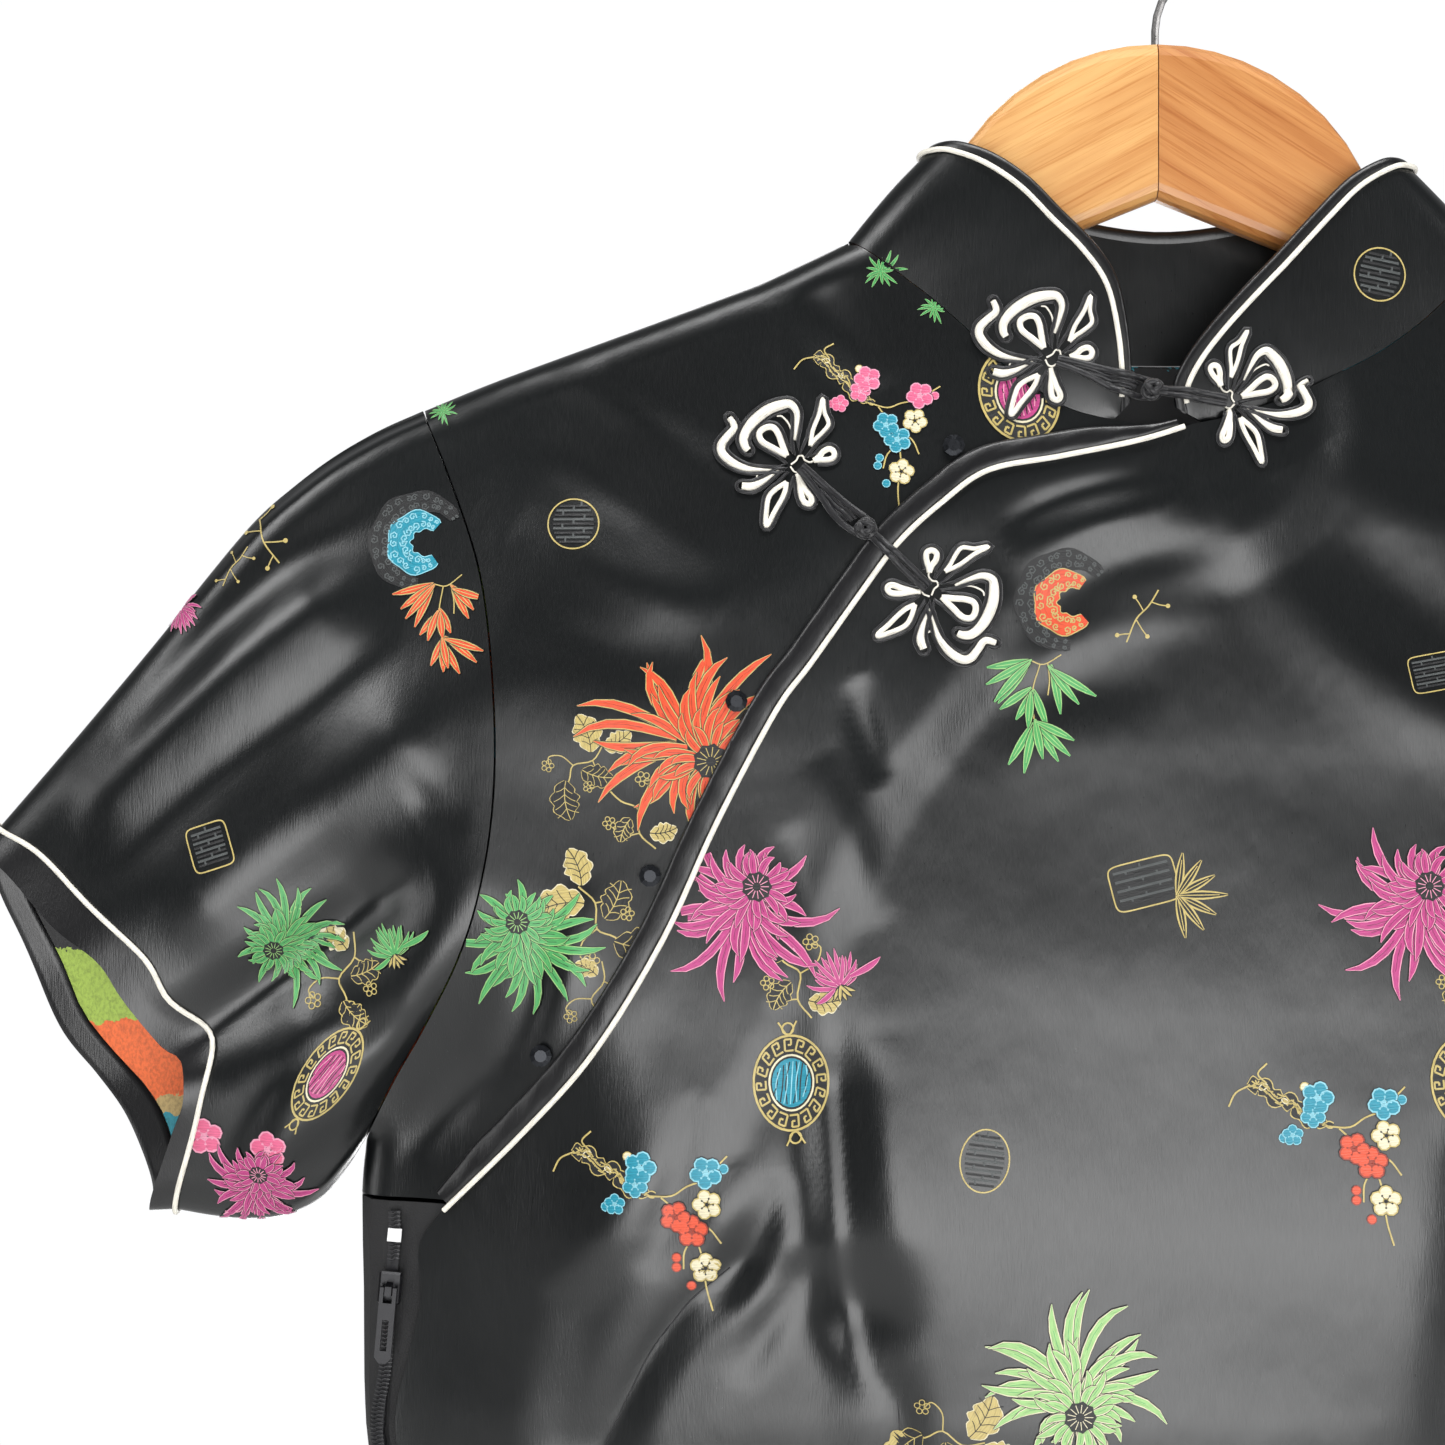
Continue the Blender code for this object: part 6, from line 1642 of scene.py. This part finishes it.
# Node, hub x and z, turn, hand, how wide the petals spread round the hub
FROGS = (("frog_collar_left", -31.2, -152.3, -46.0, 1.0, 1.0), ("frog_collar_right", 16.6, -164.0, 195.0, -1.0, 0.8),
         ("frog_chest_upper", -101.2, -181.3, -36.0, 1.0, 1.0), ("frog_chest_lower", -65.9, -215.8, 141.0, -1.0, 1.0))
# Name, knot, hub that the loop comes from, hub that the knot's stem goes to
FASTENINGS = (("collar", (-4.4, -160.6), (-31.2, -152.3), (16.6, -164.0)),
              ("chest", (-83.0, -199.0), (-101.2, -181.3), (-65.9, -215.8)))
EDGE_CORD, LOOP_CORD, KNOT_CORD = 0.52, 0.9, 0.85
KNOT_BALL = 2.2


def cloth_level(tree, places, reach=0.9, limit=None):
    """Depth of the foremost cloth near each place of a line, evened out along it."""
    levels = []
    for x, z in places:
        best = 1e9
        for dx, dz in ((0.0, 0.0), (reach, 0.0), (-reach, 0.0), (0.0, reach), (0.0, -reach)):
            found = seen_from(tree, x + dx, z + dz, -1.0)[0]
            if found is not None:
                best = min(best, found.y)
        levels.append(best)
    levels = np.array(levels)
    if limit is not None:
        levels = np.minimum(levels, limit)
    padded = np.concatenate([[levels[0]] * 2, levels, [levels[-1]] * 2])
    evened = sum(padded[k:k + len(levels)] for k in range(5)) / 5.0
    return np.minimum(evened, levels + 0.15)


def petal_edge(line, away):
    """Line of the cord that runs round a closed petal, open towards the hub."""
    return (line - left_of(line) * away)[3:-3]


def stroke_edge(line, half, away):
    """Line of the cord out along one side of a stroke, round its end and back."""
    left, run = left_of(line), unit(line[-1] - line[-2])
    out, back = line - left * (half + away)[:, None], (line + left * (half + away)[:, None])[::-1]
    turns = np.radians([-60.0, -25.0, 0.0, 25.0, 60.0])[:, None]
    cap = line[-1] + (run * np.cos(turns) + left[-1] * np.sin(turns)) * (half[-1] + away)
    return np.vstack([out, cap, back])


def frog_lines():
    """Cream lines with their radii, and one black line that runs round them all, before placing."""
    creams, edges = [], []
    for number, entry in enumerate(FROG_PETALS):
        if entry is None:
            line = Path(FROG_STROKES[number], 5).points
            line, half = line[:, :2], line[:, 2]
            creams.append((line, half))
            edges.append(stroke_edge(line, half, EDGE_CORD))
        else:
            radius, points = entry
            line = Path((*points, points[0]), 5).points
            creams.append((line, radius * (0.62 + 0.38 * smooth(np.linalg.norm(line, axis=1) / 7.0))))
            edges.append(petal_edge(line, radius + EDGE_CORD))
    around = [edges[0]]
    for before, after in zip(edges, edges[1:]):
        middle = before[-1] + after[0]
        turn = 3.2 * middle / max(float(np.hypot(*middle)), 1e-6)
        around += [turn[None], after]
    threads = [(Path(points, 5).points, np.full((len(points) - 1) * 5 + 1, 0.26)) for points in FROG_THREADS]
    return creams + threads, np.vstack(around)


def put_frogs(tree):
    creams, edge = frog_lines()
    for node, hub_x, hub_z, turn, hand, spread in FROGS:
        hub_level = float(cloth_level(tree, [(hub_x, hub_z)])[0])

        def placed(line, radius, rise=0.0):
            reach = np.hypot(line[:, 0], line[:, 1])
            angle = math.pi + spread * (np.mod(np.arctan2(line[:, 1], line[:, 0]), 2.0 * math.pi) - math.pi)
            angle = math.radians(turn) + hand * angle
            x, z = hub_x + reach * np.cos(angle), hub_z + reach * np.sin(angle)
            level = cloth_level(tree, zip(x.tolist(), z.tolist()), limit=hub_level + 3.5)
            return np.stack([x, level - 0.8 * np.asarray(radius) - rise, z], axis=-1)

        batch = Batch([CREAM, BLACK_CORD])
        for line, radius in creams:
            thick = np.maximum(radius, 0.42)
            points = placed(line, np.minimum(thick, 0.95))
            batch.add(*tube(points, radius, 10, flat=np.minimum(0.95, 0.85 * thick / radius)[:, None, None]), 0)
        batch.add(*tube(placed(edge, EDGE_CORD, 0.1), EDGE_CORD, 8), 1)
        dress(batch.build(f"{node}_cords"), "cord", node)


def put_fastenings(tree):
    """Corded loops and the knots in them, over the frogs."""
    for name, knot, start, end in FASTENINGS:
        knot, start, end = np.array(knot), np.array(start), np.array(end)
        along = unit(knot - start)
        square = np.array([-along[1], along[0]])
        reach = float(np.linalg.norm(knot - start))
        ends = cloth_level(tree, [start, knot, end])
        limit = float(max(ends[0], ends[2])) + 0.5

        def lying(points, radius, rise=0.0):
            level = cloth_level(tree, points, limit=limit)
            return np.stack([points[:, 0], level - radius - 0.15 - rise, points[:, 1]], axis=-1)

        def beside(rows):
            return Path([start + along * (share * reach) + square * off for share, off in rows], 6).points

        past = 1.0 + 2.1 / reach
        ring = beside(((0.04, 0.8), (0.25, 1.0), (0.5, 1.25), (0.75, 1.7), (0.95, 2.3), (past, 1.3), (past, -1.3),
                       (0.93, -2.7), (0.78, -3.3), (0.6, -3.0), (0.42, -1.9), (0.22, -1.1), (0.04, -0.8)))
        loop = Batch([BLACK_CORD])
        loop.add(*tube(lying(ring, LOOP_CORD), LOOP_CORD, 10, flat=0.85), 0)
        for off, low, high, thick in ((0.15, 0.22, 0.86, 0.55), (-0.95, 0.36, 0.84, 0.6), (-1.9, 0.5, 0.8, 0.45)):
            inner = beside([(lerp(low, high, k / 4.0), off + 0.22 * math.sin(2.3 * k)) for k in range(5)])
            loop.add(*tube(lying(inner, thick, 0.1), thick, 8), 0)
        dress(loop.build(f"loop_{name}_cord"), "satin", f"loop_{name}")

        ball = Batch([BLACK_CORD])
        t = np.linspace(0.0, 2.0 * math.pi, 181)[:-1]
        latitude = 1.05 * np.sin(4.0 * t)
        radius = KNOT_BALL + 0.32 * np.sin(7.0 * t + 0.6)
        axis = unit(np.array([along[0], -0.55, along[1]]))
        first = unit(np.cross(axis, [0.0, 0.0, 1.0]))
        second = np.cross(axis, first)
        turn = 3.0 * t
        shape = (first * (np.cos(turn) * np.cos(latitude))[:, None]
                 + second * (np.sin(turn) * np.cos(latitude))[:, None]
                 + axis * np.sin(latitude)[:, None]) * radius[:, None]
        centre = np.array([knot[0], float(min(ends[1], limit)) - KNOT_BALL - 1.5, knot[1]])
        ball.add(*tube(shape + centre, KNOT_CORD, 8, True, up=axis), 0)
        stem = end - knot
        stem_run, stem_square = unit(stem), unit(np.array([-stem[1], stem[0]]))
        length = float(np.linalg.norm(stem))
        for side in (-1.0, 1.0):
            rows = [(1.2, 0.5), (0.3 * length, 0.75), (0.55 * length, 0.95), (0.8 * length, 1.0),
                    (length - 0.6, 0.9)]
            strand = Path([knot + stem_run * far + stem_square * (side * off) for far, off in rows], 6).points
            line = lying(strand, KNOT_CORD)
            eased = smooth(np.linspace(0.0, 2.2, len(line)))
            line[:, 1] = lerp(np.full(len(line), centre[1]), line[:, 1], eased)
            ball.add(*tube(line, KNOT_CORD, 10), 0)
        dress(ball.build(f"knot_{name}_ball"), "satin", f"knot_{name}")


# Zip: ribs of the coil over the chain
SLIDER_Z = -408.0
RIB_PITCH = 1.15


def zip_ribs():
    """Turns of the coil, with a gap where the slider sits."""
    batch = Batch([ZIP_COIL])
    count = int(CHAIN_PATH.length * 0.97 / RIB_PITCH)
    for share in np.linspace(0.014, 0.983, count):
        (x, z), (across_x, across_z) = CHAIN_PATH.at(share), CHAIN_PATH.side(share)
        if abs(z - SLIDER_Z) < 7.5:
            continue
        offsets = np.linspace(-1.55, 1.55, 6)
        level = 1.55 + 0.55 * np.cos(offsets / 1.55 * 1.35)
        line = body_point(x + across_x * offsets, z + across_z * offsets - 0.25 * np.sign(offsets), -1.0, level)
        batch.add(*tube(line, 0.34, 6, up=np.array([0.0, 0.0, 1.0])), 0)
    dress(batch.build("zip_coil_ribs"), "zip_coil")


# Stitched darts: columns x, z, on the front and on the back
FRONT_DARTS = (((-153.6, -447.2), (-147.5, -434.0), (-141.4, -421.5), (-135.0, -412.5), (-129.2, -405.3),
                (-119.8, -397.7)),
               ((150.0, -440.0), (138.0, -417.0), (124.0, -398.0)),
               ((-74.6, -433.4), (-72.8, -470.0), (-72.0, -520.0), (-73.5, -570.0), (-76.0, -612.0)),
               ((84.0, -430.0), (76.0, -470.0), (74.0, -520.0), (75.0, -570.0), (77.0, -612.0)))
BACK_DARTS = (((-72.0, -392.0), (-71.0, -450.0), (-70.0, -520.0), (-70.0, -606.0)),
              ((70.0, -398.0), (71.0, -450.0), (73.0, -520.0), (74.0, -612.0)))


def put_darts(front_tree, back_tree):
    """Fine dark line in the valley of each dart, where its two sides are sewn together."""
    batch = Batch([BLACK_CORD])
    for lines, tree, facing in ((FRONT_DARTS, front_tree, -1.0), (BACK_DARTS, back_tree, 1.0)):
        for points in lines:
            line = Path(points, 12).points
            seam = []
            for x, z in line.tolist():
                found = seen_from(tree, x, z, facing)[0]
                seam.append(np.array(found) + np.array([0.0, facing * 0.02, 0.0]))
            batch.add(*tube(np.array(seam), 0.2, 6), 0)
    dress(batch.build("dart_seams"), "brocade")


# Soft lights: name, place and aim in metres, width, height, watts
PANELS = (("bust_sheen", (0.10, -1.7, -0.70), (-0.06, 0.0, -0.38), 1.6, 0.95, 27.0),
          ("key", (-1.5, -0.95, 0.95), (-0.15, 0.0, -0.25), 0.8, 0.7, 14.0),
          ("top", (0.1, -0.55, 1.3), (0.0, 0.0, -0.3), 1.4, 0.5, 26.0),
          ("right", (1.7, -0.8, 0.1), (0.0, 0.0, -0.3), 0.5, 1.0, 12.0),
          ("left", (-1.9, -0.5, -0.2), (0.0, 0.0, -0.35), 0.5, 1.2, 6.0),
          ("back", (0.2, 1.8, 0.6), (0.0, 0.0, -0.5), 1.2, 1.2, 14.0),
          ("back_sheen", (-0.5, 2.2, -0.9), (0.0, 0.0, -0.6), 1.1, 0.8, 16.0))


# Studio: pale floor and surroundings, the lights, camera at the photograph's place
def studio():
    scene = bpy.context.scene
    mesh = bpy.data.meshes.new("floor")
    size, level = 3.0, HEM_Z * MM - 0.06
    steps = 12
    x, y = np.meshgrid(np.linspace(-size, size, steps), np.linspace(-size, 0.5 * size, steps))
    points = np.stack([x.ravel(), y.ravel(), np.full(x.size, level)], axis=-1)
    mesh.from_pydata(points.tolist(), [], grid_faces(steps, steps).tolist())
    floor = bpy.data.objects.new("floor", mesh)
    bpy.context.collection.objects.link(floor)
    paint, shader, tree, add = new_material("floor_paint", 0.7)
    mottled = noise(add, stretched(add, EVEN), 3.0)
    tree.links.new(ramp(add, mottled, ((0.3, srgb("E6E6E6")), (0.7, srgb("ECECEB")))), shader.inputs["Base Color"])
    mesh.materials.append(paint)

    world = bpy.data.worlds.new("studio")
    scene.world = world
    world.use_nodes = True
    tree = world.node_tree
    background = tree.nodes["Background"]
    place = tree.nodes.new("ShaderNodeTexCoord")
    split = tree.nodes.new("ShaderNodeSeparateXYZ")
    tree.links.new(place.outputs["Generated"], split.inputs["Vector"])
    tones = tree.nodes.new("ShaderNodeMapRange")
    for socket, value in (("From Min", 0.1), ("From Max", 0.75), ("To Min", 0.07), ("To Max", 0.45)):
        tones.inputs[socket].default_value = value
    tree.links.new(split.outputs["Y"], tones.inputs["Value"])
    rays = tree.nodes.new("ShaderNodeLightPath")
    seen = tree.nodes.new("ShaderNodeMapRange")
    seen.inputs["To Max"].default_value = 1.02
    tree.links.new(rays.outputs["Is Camera Ray"], seen.inputs["Value"])
    tree.links.new(tones.outputs["Result"], seen.inputs["To Min"])
    tree.links.new(seen.outputs["Result"], background.inputs["Strength"])
    background.inputs["Color"].default_value = (0.985, 0.99, 1.0, 1.0)

    def panel(name, place, aim, width, height, power):
        light = bpy.data.lights.new(name, "AREA")
        light.shape = "RECTANGLE"
        light.size, light.size_y = width, height
        light.energy = power
        made = bpy.data.objects.new(name, light)
        made.location = place
        made.rotation_euler = (Vector(aim) - Vector(place)).to_track_quat("-Z", "Y").to_euler()
        bpy.context.collection.objects.link(made)

    for entry in PANELS:
        panel(*entry)

    camera = bpy.data.cameras.new("camera")
    camera.lens = 59.27
    camera.sensor_width = 36.0
    camera.clip_start, camera.clip_end = 0.01, 20.0
    made = bpy.data.objects.new("camera", camera)
    made.location = (VIEW_X * MM, VIEW_Y * MM, VIEW_Z * MM)
    made.rotation_euler = (math.radians(90.0), 0.0, 0.0)
    bpy.context.collection.objects.link(made)
    scene.camera = made
    scene.view_settings.view_transform = "Standard"


studio()
FRONT = front_piece()
FLAP = flap_piece()
BACK = back_piece()
LEFT = sleeve_pieces("left", -1.0)
RIGHT = sleeve_pieces("right", 1.0)
COLLAR_PIECES = collar_pieces()
TRIM = opening_trim()
put_figures(make_figures())
SURFACE = tree_of(FRONT, FLAP, *COLLAR_PIECES, *TRIM)
put_frogs(SURFACE)
put_fastenings(SURFACE)
zip_tape()
zip_ribs()
put_darts(tree_of(FRONT), tree_of(BACK))
for node_name, paint in (("hanger_arm_left", WOOD_LEFT), ("hanger_arm_right", WOOD_RIGHT),
                         ("hanger_hook", STEEL), ("zip_slider", ZIP_METAL), ("zip_pull", ZIP_METAL),
                         ("zip_stop", ZIP_STOP), ("zip_chain", ZIP_COIL),
                         *((f"press_stud_{number}", STUD) for number in range(1, 5))):
    repaint(node_name, paint)
